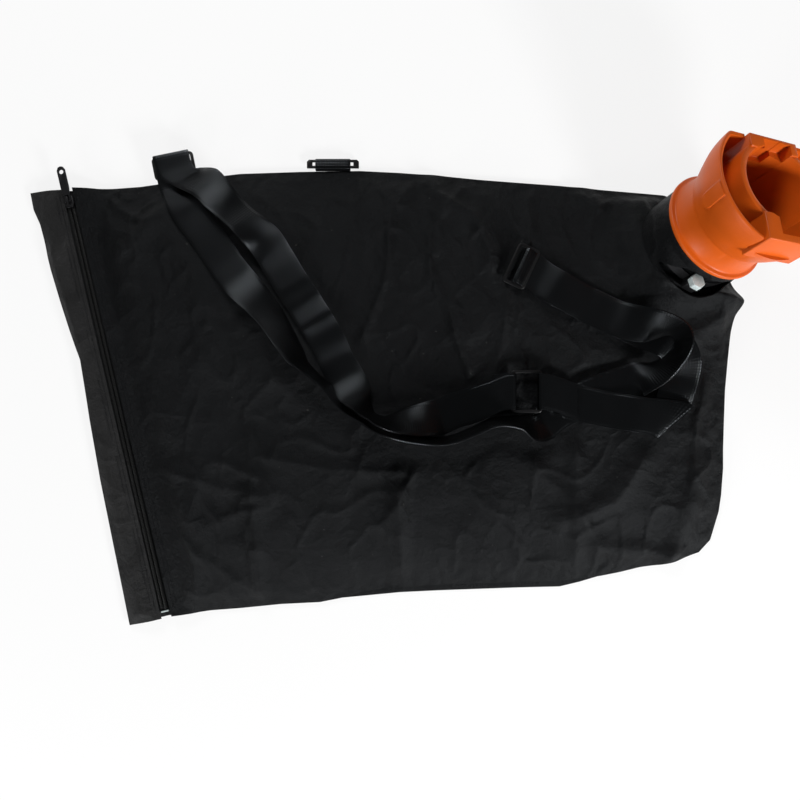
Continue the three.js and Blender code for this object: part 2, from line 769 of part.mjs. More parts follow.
// Collar: one moulding with spigot, flange, inner tube, outer bell and two key blocks
const tube = turned(
  [
    [SPIGOT - 3.7, COLLAR_BOTTOM],
    [SPIGOT - 0.6, COLLAR_BOTTOM],
    [SPIGOT, COLLAR_BOTTOM + 1],
    [SPIGOT, -1.2],
    [FLANGE - 1, -1],
    [FLANGE, 0.2],
    [FLANGE, 2.4],
    [FLANGE - 1, 3.5],
    [SPIGOT + 3.6, 4.2],
    [SPIGOT + 2.2, 12],
    [SPIGOT + 1.4, 28],
    [BORE + TUBE_WALL, 34],
    [BORE + TUBE_WALL, COLLAR_TOP - 1.4],
    [BORE + TUBE_WALL - 1.1, COLLAR_TOP],
    [BORE + 1.3, COLLAR_TOP],
    [BORE, COLLAR_TOP - 1.2],
    [BORE, 8],
    [SPIGOT - 4.5, -2],
    [SPIGOT - 4.5, COLLAR_BOTTOM + 1.2],
  ],
  TURN_SIDES,
  neck
);
const bellOutside = [
  [SPIGOT + 1.4, 25],
  [BELL - 13.7, 30],
  [BELL - 11.3, 35],
  [BELL - 7.1, 45],
  [BELL - 3.1, 55],
  [BELL - 1, COLLAR_TOP - 15],
  [BELL, COLLAR_TOP - 4.4],
  [BELL - 0.8, COLLAR_TOP - 2.6],
];
const bellShell = turned(
  [
    [BORE + 3.5, 25],
    ...bellOutside,
    [BELL - 3.7, COLLAR_TOP - 2.6],
    [BELL - 4.7, COLLAR_TOP - 4.4],
    [BELL - 4.9, COLLAR_TOP - 15],
    [BELL - 7, 56],
    [BELL - 10.4, 49],
    [BELL - 16, 45],
    [BORE + 3.5, 43.6],
  ],
  TURN_SIDES,
  neck
);
// A frame at an angle around the collar: X outwards, Y around, Z along its axis
const collarFrame = (degrees) =>
  neck.clone().multiply(new THREE.Matrix4().makeRotationZ(radians(degrees)));
const upper = collarFrame(141);
const lower = collarFrame(-39);
// The bell is cut off flat beside the upper block and closed there by a wall
const wallProfile = [[0, 25], ...bellOutside, [0, COLLAR_TOP - 2.6]];
const flatWall = turned(wallProfile, TURN_SIDES, neck)
  .intersect(block([FLAT_SIDE - 3.5, -BELL, 25], [FLAT_SIDE, BELL, COLLAR_TOP], upper))
  .subtract(block([0, -29.5, 46], [BELL, 29.5, COLLAR_TOP + 19], upper));
const bell = bellShell
  .subtract(block([FLAT_SIDE, -BELL - 9, 0], [BELL + 26, BELL + 9, COLLAR_TOP + 19], upper))
  .add(flatWall)
  .subtract(block([BORE + TUBE_WALL + 5.1, -30, 58], [BELL + 26, 30, COLLAR_TOP + 19], lower));
const bore = rod(BORE, -60, 120, TURN_SIDES, neck);
const blocks = block([BORE - 5.5, -28, 45], [FLAT_SIDE - 0.4, 28, COLLAR_TOP + 2], upper)
  .add(block([BORE - 5.5, -28, 50], [BELL - 6, 28, COLLAR_TOP + 2], lower))
  .subtract(bore);
const tongue = new THREE.Matrix4()
  .makeTranslation(BELL - 3.1, 0, COLLAR_TOP - 27)
  .multiply(new THREE.Matrix4().makeRotationY(radians(9)));
const tongueFrame = collarFrame(-117).multiply(tongue);
const tongueTurn = tongueFrame.clone().multiply(new THREE.Matrix4().makeRotationY(Math.PI / 2));
const tongueShape = [];
for (let i = 0; i <= 10; i++) {
  const a = -Math.PI / 2 + (Math.PI * i) / 10;
  tongueShape.push([7 * Math.cos(a), 7 * Math.sin(a)]);
}
tongueShape.push([-22, 7], [-22, -7]);
const tonguePad = slab(tongueShape, -6, 1.2, tongueTurn);
const keyway = join([
  block([BORE - 11.5, -7, 58], [BORE + 5.1, 12, COLLAR_TOP + 9], upper),
  block([BORE - 11.5, -20, 70], [BORE + 4.5, -6, COLLAR_TOP + 9], upper),
]);
const keyEye = new THREE.Matrix4().makeRotationY(Math.PI / 2);
keyEye.setPosition(0, 2, 72);
const collar = tube
  .add(bell)
  .add(tonguePad)
  .add(blocks)
  .subtract(keyway)
  .subtract(rod(1.8, BORE - 1.5, BELL - 4, 12, upper.clone().multiply(keyEye)))
  .subtract(block([BORE - 11.5, -12, 62], [BORE + 14.5, 12, COLLAR_TOP + 9], lower));
addNode("collar", collar, orange);

// Webbing strap: a ribbon through stations of [x, y, tilt in degrees, lift off the cloth].
// A tilt raises the ribbon's second edge.
const halfWeb = WEB_WIDTH / 2;
function restingHeight(x, y, across, tilt, lift) {
  const reach = halfWeb * Math.cos(tilt);
  const samples = tilt > 0.5 ? [-1, -0.8] : [-1, -0.5, 0, 0.5, 1];
  let support = 0;
  for (const s of samples) {
    for (const t of [-6, 0, 6]) {
      const px = x + across.x * reach * s - across.y * t;
      const py = y + across.y * reach * s + across.x * t;
      support = Math.max(support, clothHeight(px, py));
    }
  }
  return support + lift + halfWeb * Math.sin(tilt) + (WEB_THICK / 2) * Math.cos(tilt);
}

// Stations resting on the cloth, each given its edge direction from the path's heading
function restingRun(stations, before, after, across) {
  const knots = [];
  let previous = across.clone();
  stations.forEach(([x, y, degrees, lift], i) => {
    const back = i > 0 ? stations[i - 1] : before || stations[0];
    const ahead = i < stations.length - 1 ? stations[i + 1] : after || stations[i];
    const heading = new THREE.Vector3(ahead[0] - back[0], ahead[1] - back[1], 0).normalize();
    const flat = new THREE.Vector3(-heading.y, heading.x, 0);
    if (flat.dot(previous) < 0) flat.negate();
    previous = flat.clone();
    const tilt = radians(degrees);
    const z = restingHeight(x, y, flat, tilt, lift);
    const edge = flat.clone().multiplyScalar(Math.cos(tilt)).addScaledVector(UP, Math.sin(tilt));
    knots.push({ p: new THREE.Vector3(x, y, z), w: edge.multiplyScalar(halfWeb) });
  });
  return knots;
}

// A turn of the ribbon around a straight bar: out is the side it bulges to
function barTurn(centre, out, edge, radius, fromBelow, steps = 6) {
  const knots = [];
  for (let i = 0; i <= steps; i++) {
    const a = (Math.PI * i) / steps;
    const rise = fromBelow ? -Math.cos(a) : Math.cos(a);
    const p = centre
      .clone()
      .addScaledVector(out, radius * Math.sin(a))
      .addScaledVector(UP, radius * rise);
    knots.push({ p, w: edge.clone() });
  }
  return knots;
}
const knot = (x, y, z, edge) => ({ p: new THREE.Vector3(x, y, z), w: edge.clone() });

// Placing of the adjusters and the joining ring
const flatHeading = (x, y) => new THREE.Vector3(x, y, 0).normalize();
const leftAdjuster = { at: new THREE.Vector3(-235.1, 243.4, 12), heading: flatHeading(0.2, -0.98) };
const rightAdjuster = { at: new THREE.Vector3(124.1, 136.6, LOFT + 5.9), heading: flatHeading(0.907, -0.421) };
const ring = { at: new THREE.Vector3(129.1, 8.7, LOFT + 7.2), heading: flatHeading(1, 0), half: 14.4 };
const crossOf = (heading) => new THREE.Vector3(-heading.y, heading.x, 0);

// Upper left run, from the ring's left bar to the left adjuster
const ringLeftBar = ring.at.clone().addScaledVector(ring.heading, -ring.half);
const ringRightBar = ring.at.clone().addScaledVector(ring.heading, ring.half);
const south = new THREE.Vector3(0, -halfWeb, 0);
const upperLeft = [
  [72, -6, 0, 2.6],
  [55, -11.2, 0, 0.4],
  [42.4, -16.8, 0, 0.4],
  [17.9, -20.6, 29, 0.4],
  [-4, -22.6, 57, 0.4],
  [-17.5, -21.9, 74, 0.4],
  [-29, -15.8, 78, 0.4],
  [-38.2, -5.1, 60, 0.4],
  [-45.3, 7.3, 22, 0.4],
  [-54.7, 22.5, 0, 0.4],
  [-64.7, 39.4, 0, 1.6],
  [-70.6, 52.9, 0, 0.6],
  [-80.4, 71.2, 0, 1],
  [-88.5, 84.5, 0, 4.4],
  [-99, 101.1, 0, 3.6],
  [-114, 124, 0, 3.4],
  [-126.9, 145.7, 0, 3.6],
  [-137.6, 162.3, 8, 3.6],
  [-147.6, 172, 22, 3.4],
  [-158.8, 182.2, 34, 3.4],
  [-171.5, 193.9, 34, 4],
  [-184.2, 206.6, 20, 6],
  [-197.4, 220.9, 6, 9],
];
const lowerLeft = [
  [-223.4, 205.1, 0, 0.5],
  [-214.3, 189.8, 0, 0.5],
  [-201, 172.4, 0, 0.5],
  [-185.2, 149, 0, 0.5],
  [-169.4, 127, 3, 0.5],
  [-144, 100.1, 34, 0.5],
  [-128.6, 81.2, 46, 0.5],
  [-106.9, 46.9, 61, 0.5],
  [-97.9, 35.1, 74, 0.5],
  [-84.7, 23.1, 80, 0.5],
  [-74.5, 14.6, 80, 0.5],
  [-64.1, 0.8, 80, 0.5],
  [-52.7, -10.5, 80, 0.5],
  [-37.7, -19.3, 80, 0.5],
  [-26, -27.3, 80, 0.5],
  [-14.6, -32.2, 80, 0.5],
  [3.3, -37.1, 80, 0.5],
  [18.4, -39.6, 80, 0.5],
  [38.4, -41.3, 80, 0.5],
  [54.5, -38.9, 80, 0.5],
  [74.1, -31.1, 80, 0.5],
  [94.3, -22.4, 78, 0.5],
  [110.2, -21.4, 75, 0.5],
  [122.4, -23, 68, 0.5],
  [136.7, -27, 36, 0.5],
  [147.9, -23, 6, 0.5],
  [157.8, -14.3, 0, 0.5],
  [171.4, -7, 0, 0.5],
  [186.4, 0.4, 0, 0.5],
  [199.9, 6.1, 0, 0.5],
  [216.3, 12.2, 0, 0.5],
  [237.3, 19.4, 4, 0.5],
  [247.9, 24, 32, 0.8],
  [259.8, 29.1, 56, 3],
  [269.9, 38.3, 72, 6],
  [277, 48.5, 79, 8.5],
  [280.1, 59.7, 81, 9],
  [274.4, 69.9, 72, 8.5],
  [262.2, 73.5, 50, 7],
  [245.9, 75.5, 20, 5],
  [222.4, 82.7, 0, 2.9],
  [195.4, 95.5, 0, 2.7],
  [171.4, 108.1, 0, 2.7],
  [151, 119.4, 0, 2.7],
];
const outerLoop = [
  [151, 119.4, 0, 0.5],
  [171.4, 108.1, 0, 0.5],
  [195.4, 95.5, 0, 0.5],
  [222.3, 82.7, 0, 0.5],
  [245.9, 71.4, 3, 0.5],
  [265.3, 63.8, 8, 0.5],
  [280.6, 53.6, 10, 0.5],
  [287.2, 38.8, 10, 0.5],
  [286.2, 23.5, 6, 0.5],
  [282.6, 10.2, 2, 0.5],
  [280.4, 2, 0, 0.5],
];
const lowerRight = [
  [250, -15.8, 0, 5.4],
  [231.3, -13.1, 0, 5.2],
  [205.9, -8.8, 0, 3],
  [180.4, -2.6, 0, 2.8],
  [160, 3, 0, 2.6],
];

const leftCross = crossOf(leftAdjuster.heading).multiplyScalar(halfWeb);
const rightCross = crossOf(rightAdjuster.heading).multiplyScalar(halfWeb);
const leftOut = leftAdjuster.heading.clone().negate();
const rightOut = rightAdjuster.heading.clone().negate();
const knots = [];

// Tail under the ring's left bar, around it and away to the left
knots.push(knot(ringLeftBar.x - 20, ringLeftBar.y - 1, LOFT + 1.8, south));
knots.push(knot(ringLeftBar.x - 10, ringLeftBar.y, LOFT + 2.4, south));
knots.push(...barTurn(ringLeftBar, ring.heading, south, BAR_TURN, true));
knots.push(knot(ringLeftBar.x - 10, ringLeftBar.y - 1.5, LOFT + 8.6, south));
knots.push(knot(ringLeftBar.x - 24, ringLeftBar.y - 8, LOFT + 6.2, south));
knots.push(...restingRun(upperLeft, [90, 0], [-215, 232], south));

// Around the left adjuster's centre bar, top to underneath
const leftTop = leftAdjuster.at.clone().addScaledVector(leftAdjuster.heading, 10);
const overEdge = knots[knots.length - 1].w.clone();
const leftEdge2 = overEdge.dot(leftCross) < 0 ? leftCross.clone().negate() : leftCross.clone();
const easing = overEdge.clone().lerp(leftEdge2, 0.55).setLength(halfWeb);
knots.push(knot(leftTop.x + 14, leftTop.y - 3, leftAdjuster.at.z + 4.4, easing));
knots.push(knot(leftTop.x + 3, leftTop.y + 2, leftAdjuster.at.z + 3.6, leftEdge2.clone().lerp(easing, 0.25).setLength(halfWeb)));
knots.push(...barTurn(leftAdjuster.at, leftOut, leftEdge2, BAR_TURN, false));
knots.push(knot(leftTop.x - 0.6, leftTop.y, leftAdjuster.at.z - 3.1, leftEdge2));
knots.push(knot(leftTop.x + 1.5, leftTop.y - 12, leftAdjuster.at.z - 1.5, leftEdge2));
knots.push(...restingRun(lowerLeft, [-231, 222], [140, 126], leftEdge2));

// Under the right adjuster's near bar, over its centre bar and back underneath
const fromRight = knots[knots.length - 1].w.dot(rightCross) < 0 ? rightCross.clone().negate() : rightCross;
const besideRight = (along, rise) => {
  const p = rightAdjuster.at.clone().addScaledVector(rightAdjuster.heading, along);
  return knot(p.x, p.y, p.z + rise, fromRight);
};
knots.push(besideRight(14, -2.7));
knots.push(besideRight(8.4, -2.4));
knots.push(besideRight(5.2, 0.2));
knots.push(besideRight(2.2, 2.8));
knots.push(...barTurn(rightAdjuster.at, rightOut, fromRight, BAR_TURN, false));
knots.push(besideRight(5, -4));
knots.push(besideRight(9.5, -4.75));
knots.push(besideRight(15, -4.8));
knots.push(...restingRun(outerLoop, [138, 127], [279.5, -8], fromRight));

// Mitred fold at the right end: the ribbon turns over along a slanting line
const foldLine = new THREE.Vector3(-0.761, -0.648, 0).normalize();
const foldOut = new THREE.Vector3(0.648, -0.761, 0).normalize();
const foldMiddle = new THREE.Vector3(278.4, -21.3, LOFT + 3.7);
const foldHalf = halfWeb / 0.735;
const lastEdge = knots[knots.length - 1].w;
const foldEdge = foldLine.clone().multiplyScalar(lastEdge.dot(foldLine) < 0 ? -foldHalf : foldHalf);
const preFold = foldMiddle.clone().add(new THREE.Vector3(1, 17.5, -2.3));
const preEdge = lastEdge.clone().lerp(foldEdge, 0.15);
knots.push({ p: new THREE.Vector3(preFold.x, preFold.y, LOFT + 1.4), w: preEdge });
knots.push(...barTurn(foldMiddle, foldOut, foldEdge, 2.3, true, 4));
const backEdge = new THREE.Vector3(foldEdge.x * 0.2, foldEdge.y, 0).setLength(halfWeb * 1.05);
knots.push({ p: new THREE.Vector3(262, -17.6, LOFT + 6.2), w: backEdge });
knots.push(...restingRun(lowerRight, [262, -17.6], [150, 5], backEdge));

// Around the ring's right bar, ending on top of itself
const ringEdge = knots[knots.length - 1].w.y < 0 ? south.clone() : south.clone().negate();
const ringWest = ring.heading.clone().negate();
knots.push(knot(ringRightBar.x + 8, ringRightBar.y - 1.5, ring.at.z - 3.2, ringEdge));
knots.push(...barTurn(ringRightBar, ringWest, ringEdge, BAR_TURN, true));
knots.push(knot(ringRightBar.x + 9, ringRightBar.y - 1, ring.at.z + 2.6, ringEdge));
knots.push(knot(ringRightBar.x + 22, ringRightBar.y - 5, LOFT + 6.4, ringEdge));
knots.push(knot(ringRightBar.x + 37, ringRightBar.y - 10.5, LOFT + 6, ringEdge));

// Ribbon solid through the knots, refined where they are far apart and kept above the cloth
function ribbon(list, clearance = null, spacing = 9) {
  const spots = [];
  const pick = (i) => list[clamp(i, 0, list.length - 1)];
  const cubic = (a, b, c, d, t) =>
    0.5 * (2 * b + (c - a) * t + (2 * a - 5 * b + 4 * c - d) * t * t + (3 * b - a - 3 * c + d) * t * t * t);
  for (let i = 0; i < list.length - 1; i++) {
    const [k0, k1, k2, k3] = [pick(i - 1), pick(i), pick(i + 1), pick(i + 2)];
    const steps = Math.max(1, Math.round(k1.p.distanceTo(k2.p) / spacing));
    for (let s = 0; s < steps; s++) {
      const t = s / steps;
      const spot = { p: new THREE.Vector3(), w: new THREE.Vector3() };
      for (const key of ["x", "y", "z"]) {
        spot.p[key] = cubic(k0.p[key], k1.p[key], k2.p[key], k3.p[key], t);
      }
      spot.w.lerpVectors(k1.w, k2.w, t);
      const length = mix(k1.w.length(), k2.w.length(), t);
      spot.w.setLength(length);
      if (clearance !== null) {
        let missing = 0;
        for (const side of [-1, -0.5, 0, 0.5, 1]) {
          const corner = spot.p.clone().addScaledVector(spot.w, side);
          if (!insideOutline(corner.x, corner.y)) continue;
          const floor = clothHeight(corner.x, corner.y) + clearance + WEB_THICK / 2;
          missing = Math.max(missing, floor - corner.z);
        }
        spot.p.z += missing;
      }
      spots.push(spot);
    }
  }
  spots.push(list[list.length - 1]);
  const position = [];
  const index = [];
  spots.forEach(({ p, w }, i) => {
    const before = spots[Math.max(0, i - 1)].p;
    const after = spots[Math.min(spots.length - 1, i + 1)].p;
    const heading = after.clone().sub(before).normalize();
    const normal = new THREE.Vector3().crossVectors(w, heading).normalize();
    const thick = normal.multiplyScalar(WEB_THICK / 2);
    for (const [a, b] of [[-1, -1], [1, -1], [1, 1], [-1, 1]]) {
      const corner = p.clone().addScaledVector(w, a).addScaledVector(thick, b);
      position.push(corner.x, corner.y, corner.z);
    }
    if (i > 0) {
      const base = (i - 1) * 4;
      for (let j = 0; j < 4; j++) {
        const [c, d] = [base + j, base + ((j + 1) % 4)];
        index.push(c, d, d + 4, c, d + 4, c + 4);
      }
    }
  });
  const end = (spots.length - 1) * 4;
  index.push(0, 2, 1, 0, 3, 2, end, end + 1, end + 2, end, end + 2, end + 3);
  const geometry = new THREE.BufferGeometry();
  geometry.setAttribute("position", new THREE.Float32BufferAttribute(position, 3));
  geometry.setIndex(index);
  return solid(geometry);
}
addNode("shoulder_strap", ribbon(knots, 0.4), webbing);

// Rectangular plates with rounded corners and slots for the webbing
function roundedRectangle(width, height, radius) {
  const points = [];
  const corners = [
    [width / 2 - radius, height / 2 - radius, 0],
    [radius - width / 2, height / 2 - radius, 90],
    [radius - width / 2, radius - height / 2, 180],
    [width / 2 - radius, radius - height / 2, 270],
  ];
  for (const [x, y, start] of corners) {
    for (const step of [0, 30, 60, 90]) {
      const a = radians(start + step);
      points.push([x + radius * Math.cos(a), y + radius * Math.sin(a)]);
    }
  }
  return points;
}
function slottedPlate(place, depth, slots) {
  const cross = crossOf(place.heading);
  const frame = new THREE.Matrix4().makeBasis(place.heading, cross, UP).setPosition(place.at);
  const halfSlot = WEB_WIDTH / 2 + 0.4;
  const outer = roundedRectangle(depth, PLATE_LENGTH, 4);
  const plate = slab(outer, -BAR_THICK / 2, BAR_THICK / 2, frame);
  return slots.reduce(
    (rest, [low, high]) => rest.subtract(block([low, -halfSlot, -5], [high, halfSlot, 5], frame)),
    plate
  );
}
const halfBar = BAR_WIDE / 2;
const edgeBar = ADJUSTER_DEPTH / 2 - BAR_WIDE;
const adjusterSlots = [
  [-edgeBar, -halfBar],
  [halfBar, edgeBar],
];
addNode("adjuster_left", slottedPlate(leftAdjuster, ADJUSTER_DEPTH, adjusterSlots), blackPlastic);
addNode("adjuster_right", slottedPlate(rightAdjuster, ADJUSTER_DEPTH, adjusterSlots), blackPlastic);
const ringDepth = 2 * ring.half + BAR_WIDE;
const ringSlot = [[-ring.half + halfBar, ring.half - halfBar]];
addNode("junction_ring", slottedPlate(ring, ringDepth, ringSlot), blackPlastic);

// Rear ring and its webbing tab, just showing past the top edge
const rear = { at: new THREE.Vector3(-70.4, 247.7, 3.9), heading: flatHeading(0, 1), half: 3.2 };
const rearOuter = [
  [-27.3, -4.5],
  [27.3, -4.5],
  [27.3, 2.4],
  [25.2, 4.5],
  [-25.2, 4.5],
  [-27.3, 2.4],
];
const rearFrame = new THREE.Matrix4().makeTranslation(rear.at.x, rear.at.y, rear.at.z);
const rearSlot = block([-21.5, -1.9, -5], [21.5, 1.9, 5], rearFrame);
addNode("rear_ring", slab(rearOuter, -1.1, 1.1, rearFrame).subtract(rearSlot), blackPlastic);
const rearBar = rear.at.clone().addScaledVector(rear.heading, -rear.half);
const east = new THREE.Vector3(halfWeb, 0, 0);
const tab = ribbon([
  knot(rearBar.x, 240.95, 3.3, east),
  knot(rearBar.x, 242.2, 5.7, east),
  ...barTurn(rearBar, rear.heading, east, 3.05, false),
  knot(rearBar.x, 240.95, 0.95, east),
]);
addNode("rear_tab", tab, webbing);

// Origin at the middle of the footprint, at the ground
group.updateMatrixWorld(true);
const bounds = new THREE.Box3().setFromObject(group, true);
const centre = bounds.getCenter(new THREE.Vector3());
group.position.set(-centre.x, -centre.y, -bounds.min.z);
group.updateMatrixWorld(true);

export default group;
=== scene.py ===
import json
import math

import bpy
import numpy as np
from bpy.props import FloatProperty, FloatVectorProperty, IntProperty, PointerProperty
from mathutils import Matrix, Vector, noise

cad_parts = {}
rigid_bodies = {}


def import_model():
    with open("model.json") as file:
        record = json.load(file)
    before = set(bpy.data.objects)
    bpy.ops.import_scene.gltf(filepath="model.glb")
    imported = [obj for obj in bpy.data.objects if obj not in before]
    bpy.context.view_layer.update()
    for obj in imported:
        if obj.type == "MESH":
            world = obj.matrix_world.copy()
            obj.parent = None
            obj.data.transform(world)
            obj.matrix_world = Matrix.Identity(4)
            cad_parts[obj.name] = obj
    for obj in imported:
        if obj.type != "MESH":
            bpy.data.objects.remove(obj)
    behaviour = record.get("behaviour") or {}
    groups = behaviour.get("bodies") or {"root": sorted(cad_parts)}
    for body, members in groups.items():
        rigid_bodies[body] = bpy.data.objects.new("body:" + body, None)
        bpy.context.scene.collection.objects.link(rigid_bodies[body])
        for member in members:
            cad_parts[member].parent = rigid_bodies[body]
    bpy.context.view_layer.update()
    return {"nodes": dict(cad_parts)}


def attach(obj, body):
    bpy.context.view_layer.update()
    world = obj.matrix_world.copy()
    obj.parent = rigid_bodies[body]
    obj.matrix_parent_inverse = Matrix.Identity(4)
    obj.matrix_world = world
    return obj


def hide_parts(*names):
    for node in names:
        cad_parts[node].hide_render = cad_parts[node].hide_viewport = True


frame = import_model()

bl_info = {
    "name": "Leaf Bag",
    "version": (1, 0, 0),
    "blender": (4, 5, 0),
    "location": "3D View > Sidebar > Leaf Bag",
    "description": "Builds an empty fabric leaf collection bag with its collar, zip and strap",
    "category": "Add Mesh",
}

MM = 0.001
# The plan drawing's origin, seen from the frame's origin, in millimetres
PLAN_X = -5.5336
PLAN_Y = -11.1135

# Heights, widths and zip ends of the cloth body, in millimetres
RIM_TOP = 3.2
CLOTH_THICK = 1.5
LOFT = 22.0
LOFT_REACH = 90.0
ZIP_TOP = (-347.3, 220.3)
ZIP_BOTTOM = (-243.4, -226.8)
ZIP_SHELF = 10.8
ZIP_SHELF_WIDTH = 15.0
ZIP_OPENING = 5.5
COIL_START = 8.1
TAPE_REACH = (0.5, 14.0)
COIL_REACH = (0.5, 3.5)

# Neck and collar, in millimetres on the plan drawing
NECK_CENTRE = Vector((309.0, 169.0, 60.0))
NECK_HEADING = math.radians(37.8)
NECK_LEAN = math.radians(28.6)
SLEEVE_OUTER = 52.8
BORE = 38.5
FLAT_SIDE = 47.0
NECK_AXIS = Vector((
    math.sin(NECK_LEAN) * math.cos(NECK_HEADING),
    math.sin(NECK_LEAN) * math.sin(NECK_HEADING),
    math.cos(NECK_LEAN),
))
NECK_SIDE = NECK_AXIS.cross(Vector((0, 0, 1))).normalized()
NECK_FALL = NECK_AXIS.cross(NECK_SIDE)

# The camera above the bag: its height in metres, focal length and picture width in pixels
CAMERA_HEIGHT = 0.85
FOCAL_PIXELS = 805.7
PICTURE_PIXELS = 800
SENSOR_WIDTH = 36

# Light: the world's own strength, and how far the ground shows as plain white to the camera
WHITE = (1, 1, 1, 1)
WORLD_STRENGTH = 0.14
GROUND_WHITENESS = 0.82


def neck_point(radius, degrees, height):
    """A point on the neck's own cylinder coordinates, in plan millimetres."""
    a = math.radians(degrees)
    return (
        NECK_CENTRE
        + NECK_AXIS * height
        + NECK_SIDE * (radius * math.cos(a))
        + NECK_FALL * (radius * math.sin(a))
    )


def beside_neck(degrees, radius, z):
    """The plan point of the neck's cylinder at a height above the ground."""
    a = math.radians(degrees)
    height = (z - NECK_CENTRE.z - radius * math.sin(a) * NECK_FALL.z) / NECK_AXIS.z
    point = neck_point(radius, degrees, height)
    return (point.x, point.y)


def neck_matrix(degrees=0.0):
    """The collar's frame in metres: Z out of its mouth, X towards the given angle around it."""
    columns = Matrix((NECK_SIDE, NECK_FALL, NECK_AXIS)).transposed().to_4x4()
    place = Vector((NECK_CENTRE.x + PLAN_X, NECK_CENTRE.y + PLAN_Y, NECK_CENTRE.z)) * MM
    return Matrix.Translation(place) @ columns @ Matrix.Rotation(math.radians(degrees), 4, "Z")


# Plan outlines of the sewn edges, in millimetres on the plan drawing
TOP_EDGE = [
    (-347.3, 220.3), (-315, 220.8), (-273, 223.9), (-221, 231.3), (-168, 237.6),
    (-105, 239.7), (-42, 240.7), (0, 238.6), (42, 235.5), (84, 231.3), (126, 228.1),
    (168, 225), (210, 220.8), (252, 217.2), (277, 215),
] + [beside_neck(a, SLEEVE_OUTER + 4.5, 3) for a in (140, 125, 110, 95, 80)]
SHOULDER = [beside_neck(a, SLEEVE_OUTER + 4.5, 3) for a in (80, 65, 50, 36)] + [
    (348, 121), (355.2, 102.4),
]
RIGHT_EDGE = [
    (355.2, 102.4), (350, 88), (347.5, 72), (344.5, 42), (341.6, 10), (340.5, -21),
    (339.6, -52), (339.6, -72), (337.5, -100), (335, -117), (326, -147), (314, -160),
]
BOTTOM_EDGE = [
    (-243.4, -226.8), (-210, -221.8), (-168, -218.7), (-126, -214.5), (-84, -212.4),
    (-62, -208), (-30, -199.5), (0, -196), (42, -194), (84, -192.6), (126, -191),
    (168, -190), (189, -187.5), (210, -185), (231, -180.8), (252, -175.6), (273, -172.4),
    (294, -167), (314, -160),
]
LEFT_EDGE = [
    (-388, 217), (-384.8, 199.7), (-377.4, 184), (-373.2, 168.2), (-365.9, 136.7),
    (-356.4, 105.1), (-345.9, 73.6), (-334.3, 42), (-329.5, 10.5), (-324.9, -21),
    (-314.3, -84.1), (-301.7, -147.2), (-289.1, -210.3), (-283.9, -236.5),
]
OUTLINE = (
    [(-388, 217)] + TOP_EDGE + SHOULDER[1:] + RIGHT_EDGE[1:]
    + BOTTOM_EDGE[:-1][::-1] + LEFT_EDGE[1:][::-1]
)

ZIP_RUN = np.subtract(ZIP_BOTTOM, ZIP_TOP)
ZIP_LENGTH = float(np.hypot(*ZIP_RUN))
ZIP_ALONG = ZIP_RUN / ZIP_LENGTH
ZIP_ACROSS = np.array((-ZIP_ALONG[1], ZIP_ALONG[0]))

# Folds of the front cloth: path, height and half width
FOLDS = [
    ([(263, 117), (300, 111), (353, 102)], 11, 10),
    ([(349, 99), (310, 72), (277, 50)], 7, 15),
    ([(310, -67), (300, -114), (281, -165)], 6, 12),
    ([(206, -153), (248, -157), (284, -161)], 5, 10),
    ([(-151, -98), (-147, -150), (-144, -196)], 5, 11),
    ([(-0.5, -98), (-0.5, -170)], 5, 11),
    ([(180, -56), (186, -103), (191, -150)], 5, 12),
    ([(33, 226), (45, 202), (77, 189), (90, 166), (93, 140)], 5, 10),
    ([(191, 215), (205, 202)], 4, 9),
    ([(-242, 196), (-284, 155)], 5, 10),
    ([(-227, -72), (-207, -145), (-217, -207)], 4, 14),
    ([(248, -62), (217, -103), (165, -124)], 4, 12),
    ([(-72, -83), (-62, -165)], 4, 14),
    ([(-310, -20), (-296, -80), (-285, -150)], 2.5, 9),
    ([(-362, 150), (-345, 105), (-330, 60)], 2.5, 9),
]

# Sharp creases pressed into the front cloth: path, height and half width
CREASES = [
    ([(-154, -41), (-150, -103), (-144, -199)], 3.6, 5),
    ([(0, -45), (-2, -103), (2, -185)], 3.2, 5),
    ([(-263, -70), (-221, -78), (-173, -94), (-152, -94)], 3.4, 7),
    ([(-144, -58), (-78, -70), (-21, -74), (4, -74)], 3.2, 6),
    ([(-259, -82), (-210, -156), (-160, -193)], 2.6, 9),
    ([(180, -41), (178, -110), (183, -180)], 3.0, 6),
    ([(41, 214), (74, 193), (92, 156), (97, 123)], 3.6, 5),
    ([(250, -60), (222, -104), (168, -126)], 2.6, 7),
    ([(336, 88), (300, 66), (272, 40)], 2.6, 7),
    ([(-272, 175), (-240, 205)], 2.4, 6),
]

# Seam around the neck's base, where the cloth cone is sewn into the front panel
NECK_SEAM = [(284, 243), (250, 206), (262, 163), (278, 135), (298, 118), (330, 108), (352, 104)]


def smoothstep(low, high, value):
    """Eases from 0 to 1 between two values."""
    t = np.clip((value - low) / (high - low), 0, 1)
    return t * t * (3 - 2 * t)


def path_distance(x, y, path, closed=False):
    """Distance of each point from a broken line, all in millimetres."""
    best = np.full(np.shape(x), 1e9)
    ends = path + [path[0]] if closed else path
    for (ax, ay), (bx, by) in zip(ends[:-1], ends[1:]):
        dx, dy = bx - ax, by - ay
        t = np.clip(((x - ax) * dx + (y - ay) * dy) / (dx * dx + dy * dy + 1e-9), 0, 1)
        best = np.minimum(best, np.hypot(x - ax - t * dx, y - ay - t * dy))
    return best


def zip_offset(x, y):
    """Distance from the zip's middle line, positive towards the body."""
    return (x - ZIP_TOP[0]) * ZIP_ACROSS[0] + (y - ZIP_TOP[1]) * ZIP_ACROSS[1]


